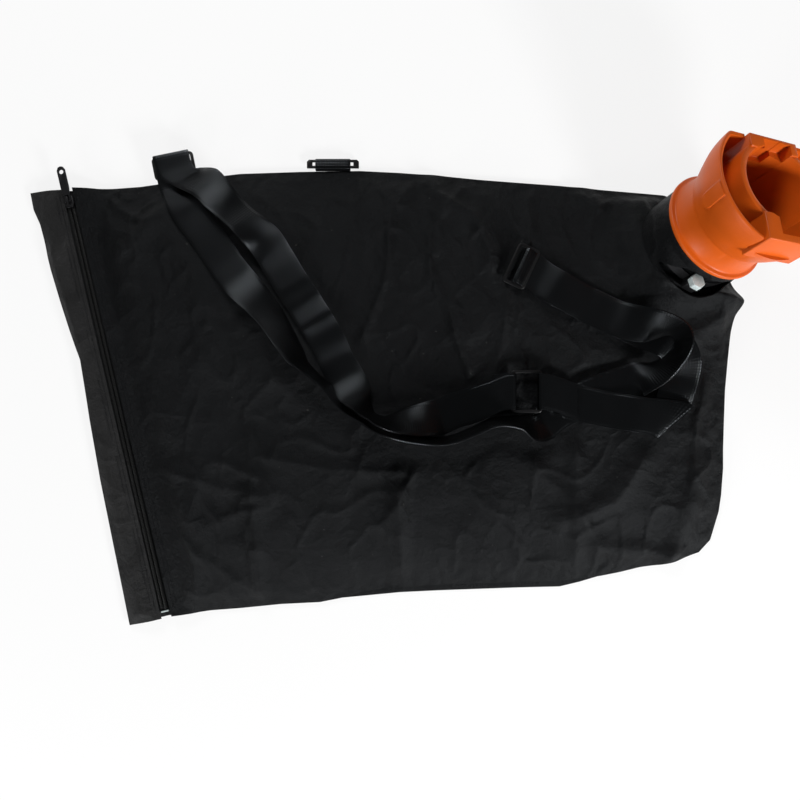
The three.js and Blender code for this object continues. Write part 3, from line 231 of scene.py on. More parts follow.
def loft_height(x, y):
    """Height of the front cloth before its folds."""
    inside = path_distance(x, y, OUTLINE, closed=True)
    t = np.clip(inside / LOFT_REACH, 0, 1)
    z = RIM_TOP + (LOFT - RIM_TOP) * (1 - (1 - t) ** 2)
    dx = x - (NECK_CENTRE.x - 45 * NECK_AXIS.x)
    dy = y - (NECK_CENTRE.y - 45 * NECK_AXIS.y)
    along = dx * math.cos(NECK_HEADING) + dy * math.sin(NECK_HEADING)
    across = -dx * math.sin(NECK_HEADING) + dy * math.cos(NECK_HEADING)
    reach = np.hypot(along / (SLEEVE_OUTER * NECK_AXIS.z), across / SLEEVE_OUTER)
    ring = NECK_CENTRE.z - 45 * NECK_AXIS.z
    ring = ring - along / np.maximum(reach, 0.6) * math.tan(NECK_LEAN)
    outside = np.maximum(0, reach - 1) * SLEEVE_OUTER
    lift = np.maximum(0, ring + 2 - z) * np.exp(-((outside / 26) ** 1.4))
    z = z + lift * smoothstep(0, 14, inside)
    shelf = 1 - smoothstep(ZIP_SHELF_WIDTH, 48, np.abs(zip_offset(x, y)))
    return z + (ZIP_SHELF - z) * shelf


def cloth_height(x, y):
    """Height of the front cloth with its main folds."""
    z = loft_height(x, y)
    free = smoothstep(ZIP_SHELF_WIDTH, 30, np.abs(zip_offset(x, y)))
    for path, rise, spread in FOLDS:
        d = path_distance(x, y, path) / spread
        z = z + rise * np.exp(-d * d) * free
    return z


def path_point(path, t):
    """Points along a broken line; t runs from 0 to 1 by length."""
    points = np.array(path, dtype=float)
    steps = np.hypot(*np.diff(points, axis=0).T)
    reach = np.concatenate(([0], np.cumsum(steps)))
    target = np.clip(t, 0, 1) * reach[-1]
    return np.stack([np.interp(target, reach, line) for line in points.T])


def zip_edge(offset):
    """A patch's edge along the zip, from its bottom to its top."""
    def edge(v):
        s = (1 - v) * ZIP_LENGTH
        x = ZIP_TOP[0] + ZIP_ALONG[0] * s + ZIP_ACROSS[0] * offset
        y = ZIP_TOP[1] + ZIP_ALONG[1] * s + ZIP_ACROSS[1] * offset
        return np.stack((x + 0 * v, y + 0 * v))
    return edge


def along_path(path, start=None):
    """A patch's edge along a broken line, with another first point if one is given."""
    points = [start] + path[1:] if start is not None else path
    return lambda t: path_point(points, t)


def patch(bottom, top, left, right):
    """Blends four edges into a plan patch; u runs along +X and v along +Y."""
    def plan(u, v):
        zero, one = np.zeros(1), np.ones(1)
        low_left, low_right = bottom(zero), bottom(one)
        high_left, high_right = top(zero), top(one)
        return (
            (1 - v) * bottom(u) + v * top(u) + (1 - u) * left(v) + u * right(v)
            - (1 - u) * (1 - v) * low_left - u * (1 - v) * low_right
            - (1 - u) * v * high_left - u * v * high_right
        )
    return plan


SHOULDER_ROW = 0.74


def front_right(v):
    """The front cloth's right edge and, past its row, the shoulder up to the neck."""
    high = path_point(SHOULDER[::-1], (v - SHOULDER_ROW) / (1 - SHOULDER_ROW))
    low = path_point(RIGHT_EDGE[::-1], v / SHOULDER_ROW)
    return np.where(v > SHOULDER_ROW, high, low)


def corner(offset, v):
    return tuple(zip_edge(offset)(np.array([float(v)]))[:, 0])


FRONT_PLAN = patch(
    along_path(BOTTOM_EDGE, corner(ZIP_OPENING, 0)),
    along_path(TOP_EDGE, corner(ZIP_OPENING, 1)),
    zip_edge(ZIP_OPENING),
    front_right,
)
STRIP_PLAN = patch(
    along_path([LEFT_EDGE[-1], corner(-ZIP_OPENING, 0)]),
    along_path([LEFT_EDGE[0], corner(-ZIP_OPENING, 1)]),
    along_path(LEFT_EDGE[::-1]),
    zip_edge(-ZIP_OPENING),
)


# Webbing route: stations of x, y, tilt in degrees and lift off the cloth, in millimetres
WEB_HALF = 18.25
WEB_THICK = 1.6
WEB_ARCH = 8.0
BAR_TURN = 3.2
UP = Vector((0, 0, 1))
UPPER_LEFT = [
    (72, -6, 0, 2.6), (55, -11.2, 0, 0.4), (42.4, -16.8, 0, 0.4), (17.9, -20.6, 29, 0.4),
    (-4, -22.6, 57, 0.4), (-17.5, -21.9, 74, 0.4), (-29, -15.8, 78, 0.4), (-38.2, -5.1, 60, 0.4),
    (-45.3, 7.3, 22, 0.4), (-54.7, 22.5, 0, 0.4), (-64.7, 39.4, 0, 1.6), (-70.6, 52.9, 0, 0.6),
    (-80.4, 71.2, 0, 1), (-88.5, 84.5, 0, 4.4), (-99, 101.1, 0, 3.6), (-114, 124, 0, 3.4),
    (-126.9, 145.7, 0, 3.6), (-137.6, 162.3, 8, 3.6), (-147.6, 172, 22, 3.4),
    (-158.8, 182.2, 34, 3.4), (-171.5, 193.9, 34, 4), (-184.2, 206.6, 20, 6),
    (-197.4, 220.9, 6, 9),
]
LOWER_LEFT = [
    (-223.4, 205.1, 0, 0.5), (-214.3, 189.8, 0, 0.5), (-201, 172.4, 0, 0.5), (-185.2, 149, 0, 0.5),
    (-169.4, 127, 3, 0.5), (-144, 100.1, 34, 0.5), (-128.6, 81.2, 46, 0.5), (-106.9, 46.9, 61, 0.5),
    (-97.9, 35.1, 74, 0.5), (-84.7, 23.1, 80, 0.5), (-74.5, 14.6, 80, 0.5), (-64.1, 0.8, 80, 0.5),
    (-52.7, -10.5, 80, 0.5), (-37.7, -19.3, 80, 0.5), (-26, -27.3, 80, 0.5),
    (-14.6, -32.2, 80, 0.5), (3.3, -37.1, 80, 0.5), (18.4, -39.6, 80, 0.5), (38.4, -41.3, 80, 0.5),
    (54.5, -38.9, 80, 0.5), (74.1, -31.1, 80, 0.5), (94.3, -22.4, 78, 0.5), (110.2, -21.4, 75, 0.5),
    (122.4, -23, 68, 0.5), (136.7, -27, 36, 0.5), (147.9, -23, 6, 0.5), (157.8, -14.3, 0, 0.5),
    (171.4, -7, 0, 0.5), (186.4, 0.4, 0, 0.5), (199.9, 6.1, 0, 0.5), (216.3, 12.2, 0, 0.5),
    (237.3, 19.4, 4, 0.5), (247.9, 24, 32, 0.8), (259.8, 29.1, 56, 3), (269.9, 38.3, 72, 6),
    (277, 48.5, 79, 8.5), (280.1, 59.7, 81, 9), (274.4, 69.9, 72, 8.5), (262.2, 73.5, 50, 7),
    (245.9, 75.5, 20, 5), (222.4, 82.7, 0, 2.9), (195.4, 95.5, 0, 2.7), (171.4, 108.1, 0, 2.7),
    (151, 119.4, 0, 2.7),
]
OUTER_LOOP = [
    (151, 119.4, 0, 0.5), (171.4, 108.1, 0, 0.5), (195.4, 95.5, 0, 0.5), (222.3, 82.7, 0, 0.5),
    (245.9, 71.4, 3, 0.5), (265.3, 63.8, 8, 0.5), (280.6, 53.6, 10, 0.5), (287.2, 38.8, 10, 0.5),
    (286.2, 23.5, 6, 0.5), (282.6, 10.2, 2, 0.5), (280.4, 2, 0, 0.5),
]
LOWER_RIGHT = [
    (250, -15.8, 0, 5.4), (231.3, -13.1, 0, 5.2), (205.9, -8.8, 0, 3), (180.4, -2.6, 0, 2.8),
    (160, 3, 0, 2.6),
]
ADJUSTER_LEFT = (Vector((-235.1, 243.4, 12)), Vector((0.2, -0.98, 0)).normalized())
ADJUSTER_RIGHT = (Vector((124.1, 136.6, LOFT + 5.9)), Vector((0.907, -0.421, 0)).normalized())
RING = (Vector((129.1, 8.7, LOFT + 7.2)), Vector((1, 0, 0)))
RING_HALF = 14.4
ROUTE_PLAN = [s[:2] for s in UPPER_LEFT + LOWER_LEFT + OUTER_LOOP + LOWER_RIGHT]


def resting_run(stations, before, after, across):
    """Ribbon knots resting on the cloth: middle, and the reach from it to the second edge."""
    knots = []
    previous = across.copy()
    for i, (x, y, degrees, lift) in enumerate(stations):
        back = stations[i - 1] if i > 0 else before
        ahead = stations[i + 1] if i < len(stations) - 1 else after
        heading = Vector((ahead[0] - back[0], ahead[1] - back[1], 0)).normalized()
        flat = Vector((-heading.y, heading.x, 0))
        if flat.dot(previous) < 0:
            flat.negate()
        previous = flat.copy()
        tilt = math.radians(degrees)
        reach = WEB_HALF * math.cos(tilt)
        samples = (-1, -0.8) if tilt > 0.5 else (-1, -0.5, 0, 0.5, 1)
        spots = [
            (x + flat.x * reach * s - flat.y * t, y + flat.y * reach * s + flat.x * t)
            for s in samples for t in (-6, 0, 6)
        ]
        support = cloth_height(*np.array(spots).T).max()
        z = support + lift + WEB_HALF * math.sin(tilt) + WEB_THICK / 2 * math.cos(tilt)
        edge = flat * math.cos(tilt) + UP * math.sin(tilt)
        knots.append((Vector((x, y, z)), edge * WEB_HALF))
    return knots


def bar_turn(centre, out, edge, radius, from_below, steps=6):
    """Knots of a half turn around a straight bar."""
    knots = []
    for i in range(steps + 1):
        a = math.pi * i / steps
        rise = -math.cos(a) if from_below else math.cos(a)
        knots.append((centre + out * (radius * math.sin(a)) + UP * (radius * rise), edge.copy()))
    return knots


def cross_of(heading):
    """The level direction square to a heading."""
    return Vector((-heading.y, heading.x, 0))


def towards(edge, like):
    """An edge vector turned to the side of another one."""
    return -edge if edge.dot(like) < 0 else edge.copy()


def strap_knots():
    """All knots of the strap, from its tail at the ring's left bar to the one at its right bar."""
    south = Vector((0, -WEB_HALF, 0))
    left_bar = RING[0] - RING[1] * RING_HALF
    right_bar = RING[0] + RING[1] * RING_HALF
    knots = [
        (Vector((left_bar.x - 20, left_bar.y - 1, LOFT + 1.8)), south),
        (Vector((left_bar.x - 10, left_bar.y, LOFT + 2.4)), south),
    ]
    knots += bar_turn(left_bar, RING[1], south, BAR_TURN, True)
    knots.append((Vector((left_bar.x - 10, left_bar.y - 1.5, LOFT + 8.6)), south))
    knots.append((Vector((left_bar.x - 24, left_bar.y - 8, LOFT + 6.2)), south))
    knots += resting_run(UPPER_LEFT, (90, 0), (-215, 232), south)

    place, heading = ADJUSTER_LEFT
    near = place + heading * 10
    over = knots[-1][1]
    edge = towards(cross_of(heading) * WEB_HALF, over)
    easing = over.lerp(edge, 0.55).normalized() * WEB_HALF
    easing_late = edge.lerp(easing, 0.25).normalized() * WEB_HALF
    knots.append((Vector((near.x + 14, near.y - 3, place.z + 4.4)), easing))
    knots.append((Vector((near.x + 3, near.y + 2, place.z + 3.6)), easing_late))
    knots += bar_turn(place - heading * 8.6, -heading, edge, BAR_TURN, False)
    knots.append((place - UP * 3.1, edge))
    knots.append((Vector((near.x - 0.6, near.y, place.z - 3.1)), edge))
    knots.append((Vector((near.x + 1.5, near.y - 12, place.z - 1.5)), edge))
    knots += resting_run(LOWER_LEFT, (-231, 222), (140, 126), edge)

    place, heading = ADJUSTER_RIGHT
    edge = towards(cross_of(heading) * WEB_HALF, knots[-1][1])
    for along, rise in ((14, -2.7), (8.4, -2.4), (5.2, 0.2), (2.2, 2.8)):
        knots.append((place + heading * along + UP * rise, edge))
    knots += bar_turn(place, -heading, edge, BAR_TURN, False)
    for along, rise in ((5, -4), (9.5, -4.75), (15, -4.8)):
        knots.append((place + heading * along + UP * rise, edge))
    knots += resting_run(OUTER_LOOP, (138, 127), (279.5, -8), edge)

    line = Vector((-0.761, -0.648, 0)).normalized()
    out = Vector((0.648, -0.761, 0)).normalized()
    middle = Vector((278.4, -21.3, LOFT + 3.7))
    last = knots[-1][1]
    fold = towards(line * (WEB_HALF / 0.735), last)
    knots.append((Vector((middle.x + 1, middle.y + 17.5, LOFT + 1.4)), last.lerp(fold, 0.15)))
    knots += bar_turn(middle, out, fold, 2.3, True, 4)
    back = Vector((fold.x * 0.2, fold.y, 0)).normalized() * (WEB_HALF * 1.05)
    knots.append((Vector((262, -17.6, LOFT + 6.2)), back))
    knots += resting_run(LOWER_RIGHT, (262, -17.6), (150, 5), back)

    edge = south if knots[-1][1].y < 0 else -south
    knots.append((Vector((right_bar.x + 8, right_bar.y - 1.5, RING[0].z - 3.2)), edge))
    knots += bar_turn(right_bar, -RING[1], edge, BAR_TURN, True)
    knots.append((Vector((right_bar.x + 9, right_bar.y - 1, RING[0].z + 2.6)), edge))
    knots.append((Vector((right_bar.x + 22, right_bar.y - 5, LOFT + 6.4)), edge))
    knots.append((Vector((right_bar.x + 37, right_bar.y - 10.5, LOFT + 6)), edge))
    return knots


def refine(knots, spacing):
    """Smooth stations between knots: arrays of middles and of edge vectors."""
    middles, edges = [], []

    def knot(i):
        return knots[min(max(i, 0), len(knots) - 1)]

    for i in range(len(knots) - 1):
        k0, k1, k2, k3 = (knot(i + step) for step in (-1, 0, 1, 2))
        steps = max(2, round((k2[0] - k1[0]).length / spacing))
        for s in range(steps):
            t = s / steps
            a, b, c, d = k0[0], k1[0], k2[0], k3[0]
            p = 0.5 * (
                2 * b + (c - a) * t + (2 * a - 5 * b + 4 * c - d) * t * t
                + (3 * b - a - 3 * c + d) * t ** 3
            )
            w = k1[1].lerp(k2[1], t)
            length = k1[1].length * (1 - t) + k2[1].length * t
            middles.append(p[:])
            edges.append((w.normalized() * length)[:])
    middles.append(knots[-1][0][:])
    edges.append(knots[-1][1][:])
    return np.array(middles), np.array(edges)


# Helpers for modelling

def clear_selection():
    if bpy.context.object and bpy.context.object.mode != "OBJECT":
        bpy.ops.object.mode_set(mode="OBJECT")
    bpy.ops.object.select_all(action="DESELECT")


def only(obj):
    clear_selection()
    obj.select_set(True)
    bpy.context.view_layer.objects.active = obj


def apply_modifier(obj, kind, **settings):
    only(obj)
    modifier = obj.modifiers.new(kind.title(), kind)
    for key, value in settings.items():
        setattr(modifier, key, value)
    bpy.ops.object.modifier_apply(modifier=modifier.name)


def round_edges(obj, width, segments, degrees):
    """Bevels all edges sharper than an angle; the width is in millimetres."""
    apply_modifier(
        obj, "BEVEL", width=width * MM, segments=segments, limit_method="ANGLE",
        angle_limit=math.radians(degrees),
    )


def thicken(obj, thickness, offset):
    apply_modifier(
        obj, "SOLIDIFY", thickness=thickness * MM, offset=offset, use_even_offset=False
    )


def repeat_along(obj, count, step):
    apply_modifier(
        obj, "ARRAY", count=count, use_relative_offset=False, use_constant_offset=True,
        constant_offset_displace=step,
    )


def edit_all(obj):
    only(obj)
    bpy.ops.object.mode_set(mode="EDIT")
    bpy.ops.mesh.select_all(action="SELECT")


def leave_edit():
    bpy.ops.object.mode_set(mode="OBJECT")


def merge_all():
    """In edit mode: joins the doubled points and turns every face outwards."""
    bpy.ops.mesh.select_all(action="SELECT")
    bpy.ops.mesh.remove_doubles(threshold=1e-5)
    bpy.ops.mesh.normals_make_consistent(inside=False)


def dissolve_flat(obj, degrees):
    edit_all(obj)
    bpy.ops.mesh.dissolve_limited(angle_limit=math.radians(degrees))
    leave_edit()


def smooth(obj, degrees=35):
    only(obj)
    bpy.ops.object.shade_smooth_by_angle(angle=math.radians(degrees))


def grid_piece(name, columns, rows, place, uv=None):
    """A grid whose points are moved to place(u, v); both run from 0 to 1."""
    clear_selection()
    bpy.ops.mesh.primitive_grid_add(x_subdivisions=columns, y_subdivisions=rows, size=2)
    obj = bpy.context.object
    obj.name = obj.data.name = name
    count = len(obj.data.vertices)
    flat = np.empty(count * 3)
    obj.data.vertices.foreach_get("co", flat)
    u, v = (flat.reshape(-1, 3)[:, :2].T + 1) / 2
    obj.data.vertices.foreach_set("co", place(u, v).astype(float).ravel())
    if uv is not None:
        layer = obj.data.uv_layers.active.data
        values = np.empty(len(layer) * 2)
        layer.foreach_get("uv", values)
        values = values.reshape(-1, 2)
        layer.foreach_set("uv", uv(values[:, 0], values[:, 1]).ravel())
    obj.data.update()
    return obj


def to_frame(x, y, z):
    return np.stack((x + PLAN_X, y + PLAN_Y, z + 0 * x), axis=-1) * MM


def box_piece(name, low, high, matrix, bevel=0.0, segments=3):
    """A bevelled block between two corners in millimetres of a matrix's frame."""
    clear_selection()
    bpy.ops.mesh.primitive_cube_add(size=1)
    obj = bpy.context.object
    obj.name = obj.data.name = name
    size = [(h - l) * MM for l, h in zip(low, high)]
    middle = Vector([(h + l) / 2 * MM for l, h in zip(low, high)])
    obj.data.transform(matrix @ Matrix.Translation(middle) @ Matrix.Diagonal((*size, 1)))
    if bevel:
        apply_modifier(obj, "BEVEL", width=bevel * MM, segments=segments, limit_method="NONE")
    return obj


def rod_piece(name, radius, low, high, matrix, sides=48, bevel=0.0):
    """A round or many-sided rod along the frame's Z, between two heights in millimetres."""
    clear_selection()
    bpy.ops.mesh.primitive_cylinder_add(
        vertices=sides, radius=radius * MM, depth=(high - low) * MM
    )
    obj = bpy.context.object
    obj.name = obj.data.name = name
    obj.data.transform(matrix @ Matrix.Translation((0, 0, (low + high) / 2 * MM)))
    if bevel:
        round_edges(obj, bevel, 3, 50)
    return obj


def turned_piece(name, profile, matrix, steps=144):
    """A closed profile of radius and height in millimetres, spun about the frame's Z."""
    clear_selection()
    bpy.ops.mesh.primitive_circle_add(vertices=len(profile), radius=1)
    obj = bpy.context.object
    obj.name = obj.data.name = name
    for vertex, (radius, height) in zip(obj.data.vertices, profile):
        vertex.co = (radius * MM, 0, height * MM)
    edit_all(obj)
    bpy.ops.mesh.spin(steps=steps, angle=2 * math.pi, center=(0, 0, 0), axis=(0, 0, 1))
    merge_all()
    leave_edit()
    obj.data.transform(matrix)
    return obj


def combine(obj, tool, operation):
    apply_modifier(obj, "BOOLEAN", operation=operation, object=tool, solver="EXACT")
    only(tool)
    bpy.ops.object.delete()
    return obj


def unite(obj, *tools):
    for tool in tools:
        combine(obj, tool, "UNION")
    return obj


def cut(obj, *tools):
    for tool in tools:
        combine(obj, tool, "DIFFERENCE")
    return obj


def join_pieces(name, pieces):
    clear_selection()
    for piece in pieces:
        piece.select_set(True)
    bpy.context.view_layer.objects.active = pieces[0]
    bpy.ops.object.join()
    pieces[0].name = pieces[0].data.name = name
    return pieces[0]


def frame_copy(name, node):
    """A merged copy of a frame node, for finer finishing."""
    source = frame["nodes"][node]
    only(source)
    source.hide_set(False)
    bpy.ops.object.duplicate()
    obj = bpy.context.object
    obj.name = obj.data.name = name
    obj.data.materials.clear()
    if obj.parent:
        bpy.ops.object.parent_clear(type="CLEAR_KEEP_TRANSFORM")
    edit_all(obj)
    bpy.ops.mesh.remove_doubles(threshold=2e-6)
    bpy.ops.mesh.tris_convert_to_quads()
    leave_edit()
    return obj


def finish_piece(obj, body, slot, nodes=(), finish=None):
    """Gives a piece the material of its slot or finish, puts it on its body and hides the nodes
    that it stands for.
    """
    obj.data.materials.clear()
    obj.data.materials.append(material(finish or slot))
    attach(obj, body)
    if nodes:
        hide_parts(*nodes)


def rolling(x, y, scale, seed):
    """Slow dents and swells, from about -1 to 1, as wide as the scale in millimetres."""
    return np.array([noise.noise(Vector((a / scale, b / scale, seed))) for a, b in zip(x, y)])


def ridged(x, y, scale, seed):
    """Creases: 1 on thin lines, falling to 0 between them."""
    return 1 - np.clip(np.abs(rolling(x, y, scale, seed)) * 3.2, 0, 1)


# Materials

class Nodes:
    """A small builder for the nodes of a material or of the world."""

    def __init__(self, owner, output="ShaderNodeOutputMaterial"):
        self.owner = owner
        owner.use_nodes = True
        self.tree = owner.node_tree
        self.tree.nodes.clear()
        self.output = self.add(output)

    def put(self, socket, value):
        if isinstance(value, bpy.types.NodeSocket):
            self.tree.links.new(value, socket)
        else:
            socket.default_value = value

    def add(self, kind, settings=None, **inputs):
        item = self.tree.nodes.new(kind)
        for key, value in (settings or {}).items():
            setattr(item, key, value)
        for key, value in inputs.items():
            self.put(item.inputs[key.replace("_", " ")], value)
        return item

    def math(self, operation, a, b=None, c=None, clamp=False):
        item = self.add("ShaderNodeMath", {"operation": operation, "use_clamp": clamp})
        for socket, value in zip(item.inputs, (a, b, c)):
            if value is not None:
                self.put(socket, value)
        return item.outputs[0]

    def coordinates(self, uv=False):
        return self.add("ShaderNodeTexCoord").outputs["UV" if uv else "Object"]

    def noise(self, vector, scale, detail=2.0, roughness=0.5):
        return self.add(
            "ShaderNodeTexNoise", Vector=vector, Scale=scale, Detail=detail, Roughness=roughness
        ).outputs["Fac"]

    def wave(self, vector, period, direction="X"):
        """Straight waves of a period in the vector's units."""
        return self.add(
            "ShaderNodeTexWave", {"bands_direction": direction, "wave_type": "BANDS"},
            Vector=vector, Scale=math.pi / 10 / period, Distortion=0.0,
        ).outputs["Fac"]

    def lines(self, value, sharpness):
        """Thin lines where a noise passes its middle."""
        away = self.math("ABSOLUTE", self.math("SUBTRACT", value, 0.5))
        return self.math("MULTIPLY_ADD", away, -sharpness, 1.0, True)

    def ramp(self, fac, stops):
        """A colour between two stops."""
        item = self.add("ShaderNodeValToRGB", Fac=fac)
        for element, (position, colour) in zip(item.color_ramp.elements, stops):
            element.position = position
            element.color = (*colour, 1)
        return item.outputs["Color"]

    def blend(self, fac, base, colour):
        """The base with a plain colour over it."""
        item = self.add("ShaderNodeMix", {"data_type": "RGBA"})
        self.put(item.inputs[0], fac)
        self.put(item.inputs[6], base)
        self.put(item.inputs[7], (*colour, 1))
        return item.outputs[2]

    def bump(self, height, distance, strength=1.0, normal=None):
        inputs = {"Height": height, "Distance": distance, "Strength": strength}
        if normal is not None:
            inputs["Normal"] = normal
        return self.add("ShaderNodeBump", **inputs).outputs["Normal"]

    def finish(self, **inputs):
        shader = self.add("ShaderNodeBsdfPrincipled", **inputs)
        self.put(self.output.inputs["Surface"], shader.outputs[0])
        return self.owner

    def finish_mixed(self, fac, first, second):
        """Ends in two shaders, the second as far as the factor says."""
        mixed = self.add("ShaderNodeMixShader", Fac=fac)
        self.put(mixed.inputs[1], first.outputs[0])
        self.put(mixed.inputs[2], second.outputs[0])
        self.put(self.output.inputs["Surface"], mixed.outputs[0])


def shades(colour, *factors):
    """Darker and lighter tones of one colour."""
    return [tuple(c * factor for c in colour) for factor in factors]


def woven_cloth(name, colour, pitch, sheen):
    """Plain weave polyester with faint crease shading, a painted highlight where the threads cross
    and a few pale lint flecks.
    """
    n = Nodes(bpy.data.materials.new(name))
    place = n.coordinates()
    warp = n.wave(place, pitch, "X")
    weft = n.wave(place, pitch, "Y")
    weave = n.math("MULTIPLY", warp, weft)
    broad = n.noise(place, 22.0, 4.0, 0.6)
    fine = n.noise(place, 900.0, 2.0, 0.6)
    lint = n.noise(place, 260.0, 1.0, 0.4)
    fleck = n.math("GREATER_THAN", lint, 0.81)
    dark, light, thread = shades(colour, 0.72, 1.35, 1.8)
    base = n.ramp(broad, [(0.3, dark), (0.72, light)])
    # Painted highlight: the colour lightens towards a paler tone where the weave stands highest
    base = n.blend(n.math("MULTIPLY", weave, 0.25), base, thread)
    base = n.blend(n.math("MULTIPLY", fleck, 0.35), base, (0.1, 0.1, 0.095))
    height = n.math("ADD", weave, n.math("MULTIPLY", fine, 0.5))
    normal = n.bump(height, 0.00022, 0.8)
    normal = n.bump(n.noise(place, 210.0, 4.0, 0.7), 0.0012, 1.0, normal)
    wide = n.lines(n.noise(place, 8.0, 2.5, 0.5), 14.0)
    thin = n.lines(n.noise(place, 19.0, 2.0, 0.45), 16.0)
    crease = n.math("MULTIPLY_ADD", thin, 0.4, wide)
    normal = n.bump(crease, 0.0013, 1.0, normal)
    rough = n.math("MULTIPLY_ADD", fine, 0.2, 0.45)
    return n.finish(
        Base_Color=base, Roughness=rough, Normal=normal, Specular_IOR_Level=0.14,
        Specular_Tint=(0.9, 0.96, 1.0, 1),
        Sheen_Weight=sheen, Sheen_Roughness=0.45, Sheen_Tint=(0.5, 0.52, 0.56, 1),
    )


def ribbed_webbing(name, colour, rib):
    """Webbing with ribs across it, two woven edge cords and a satin sheen, its ribs painted light
    on their crowns and painted dark in their grooves; reads metre UVs.
    """
    n = Nodes(bpy.data.materials.new(name))
    uv = n.coordinates(uv=True)
    across = n.add("ShaderNodeSeparateXYZ", Vector=uv).outputs["Y"]
    ribs = n.wave(uv, rib, "X")
    cords = n.wave(uv, rib * 1.15, "Y")
    weave = n.math("MULTIPLY", ribs, n.math("MULTIPLY_ADD", cords, 0.6, 0.4))
    edge = n.math("GREATER_THAN", n.math("ABSOLUTE", across), 0.0163)
    fine = n.noise(uv, 1400.0, 2.0, 0.6)
    broad = n.noise(uv, 40.0, 3.0, 0.6)
    dark, light = shades(colour, 0.3, 1.1)
    # Painted shade and highlight: the colour follows the ribs' height, dark in the grooves and
    # light on the crowns, plus random tone from the broad noise
    rib_shade_and_tone = n.math("MULTIPLY_ADD", weave, 0.55, n.math("MULTIPLY", broad, 0.4))
    base = n.ramp(rib_shade_and_tone, [(0.1, dark), (0.9, light)])
    height = n.math("ADD", weave, n.math("MULTIPLY", fine, 0.35))
    height = n.math("ADD", height, n.math("MULTIPLY", edge, 0.35))
    normal = n.bump(height, 0.00026, 1.0)
    rough = n.math("MULTIPLY_ADD", fine, 0.1, 0.2)
    return n.finish(
        Base_Color=base, Roughness=rough, Normal=normal, Specular_IOR_Level=0.26,
        Specular_Tint=(0.85, 0.93, 1.0, 1),
    )


def moulded_plastic(name, colour, roughness, grain, gloss=0.3):
    """Satin moulding with a fine grain and a few dull scuffs."""
    n = Nodes(bpy.data.materials.new(name))
    place = n.coordinates()
    fine = n.noise(place, 1100.0, 3.0, 0.6)
    broad = n.noise(place, 26.0, 3.0, 0.6)
    scuff = n.noise(place, 190.0, 6.0, 0.72)
    dark, light = shades(colour, 0.88, 1.06)
    base = n.ramp(broad, [(0.25, dark), (0.75, light)])
    normal = n.bump(fine, grain, 0.35)
    rough = n.math(
        "ADD", n.math("MULTIPLY_ADD", fine, 0.08, roughness - 0.04),
        n.math("MULTIPLY", n.math("GREATER_THAN", scuff, 0.66), 0.12),
    )
    return n.finish(Base_Color=base, Roughness=rough, Normal=normal, Specular_IOR_Level=gloss)


def coated_metal(name, colour, roughness, metal=0.85):
    """Coated or plated metal with uneven fine spots."""
    n = Nodes(bpy.data.materials.new(name))
    fine = n.noise(n.coordinates(), 700.0, 4.0, 0.65)
    base = n.ramp(fine, [(0.3, shades(colour, 0.7)[0]), (0.7, colour)])
    rough = n.math("MULTIPLY_ADD", fine, 0.25, roughness - 0.1)
    return n.finish(
        Base_Color=base, Roughness=rough, Normal=n.bump(fine, 0.00008, 0.4), Metallic=metal
    )


MATERIALS = {}


def material(key):
    """The finish of one kind of surface, made once from the panel's sizes and colours."""
    if key not in MATERIALS:
        sizes = bpy.context.scene.leaf_bag_sizes
        colours = bpy.context.scene.leaf_bag_colours
        weave = sizes.weave_pitch
        thread = shades(colours.body_cloth, 2.5)[0]
        finishes = {
            "body_cloth": (woven_cloth, colours.body_cloth, weave, 0.0),
            "end_cloth": (woven_cloth, colours.end_cloth, weave, 0.05),
            "zip_tape": (woven_cloth, colours.zip_tape, weave * 0.7, 0.02),
            "thread": (woven_cloth, thread, 0.0004, 0.05),
            "webbing": (ribbed_webbing, colours.webbing, sizes.rib_pitch),
            "coil": (moulded_plastic, colours.zip_tape, 0.4, 0.00002),
            "black_plastic": (moulded_plastic, colours.black_plastic, 0.32, 0.00003),
            "orange_plastic": (moulded_plastic, colours.orange_plastic, 0.42, 0.00003, 0.26),
            "black_metal": (coated_metal, colours.black_metal, 0.42),
            "zinc": (coated_metal, colours.zinc, 0.5, 0.2),
        }
        maker, colour, *details = finishes[key]
        MATERIALS[key] = maker(key, tuple(colour), *details)
    return MATERIALS[key]


class LeafBagSizes(bpy.types.PropertyGroup):
    weave_pitch: FloatProperty(
        name="Weave pitch", description="Distance between threads of the body cloth",
        default=0.0009, unit="LENGTH", precision=5,
    )
    rib_pitch: FloatProperty(
        name="Rib pitch", description="Distance between the webbing's cross ribs",
        default=0.0024, unit="LENGTH", precision=5,
    )
    tooth_pitch: FloatProperty(
        name="Tooth pitch", description="Distance between the zip coil's turns",
        default=0.0016, unit="LENGTH", precision=5,
    )
    crease_depth: FloatProperty(
        name="Crease depth", description="Height of the small creases in the cloth, in millimetres",
        default=1.5, min=0.0, max=2.0,
    )
    front_columns: IntProperty(
        name="Front columns", description="Columns of the front cloth's grid", default=270,
    )
    front_rows: IntProperty(
        name="Front rows", description="Rows of the front cloth's grid", default=170,
    )


def colour_property(name, description, default):
    return FloatVectorProperty(
        name=name, description=description, default=default, subtype="COLOR", size=3, min=0, max=1
    )


class LeafBagColours(bpy.types.PropertyGroup):
    body_cloth: colour_property(
        "Body cloth", "Black polyester of the body", (0.0024, 0.0024, 0.0027)
    )
    end_cloth: colour_property(
        "End cloth", "Dark grey cloth beyond the zip", (0.014, 0.0135, 0.0133)
    )
    webbing: colour_property("Webbing", "Black webbing of the strap", (0.003, 0.0031, 0.0034))
    zip_tape: colour_property("Zip tape", "Tape and coil of the zip", (0.006, 0.006, 0.006))
    black_plastic: colour_property("Black plastic", "Adjusters and rings", (0.006, 0.006, 0.0065))
    black_metal: colour_property("Black metal", "Slider, pull and band", (0.03, 0.03, 0.032))
    zinc: colour_property("Zinc", "Pale plated hex screw", (0.6, 0.68, 0.68))
    orange_plastic: colour_property("Orange plastic", "Collar moulding", (0.62, 0.098, 0.005))
    ground: colour_property("Ground", "Pale ground and backdrop", (0.9, 0.9, 0.9))


# Pieces

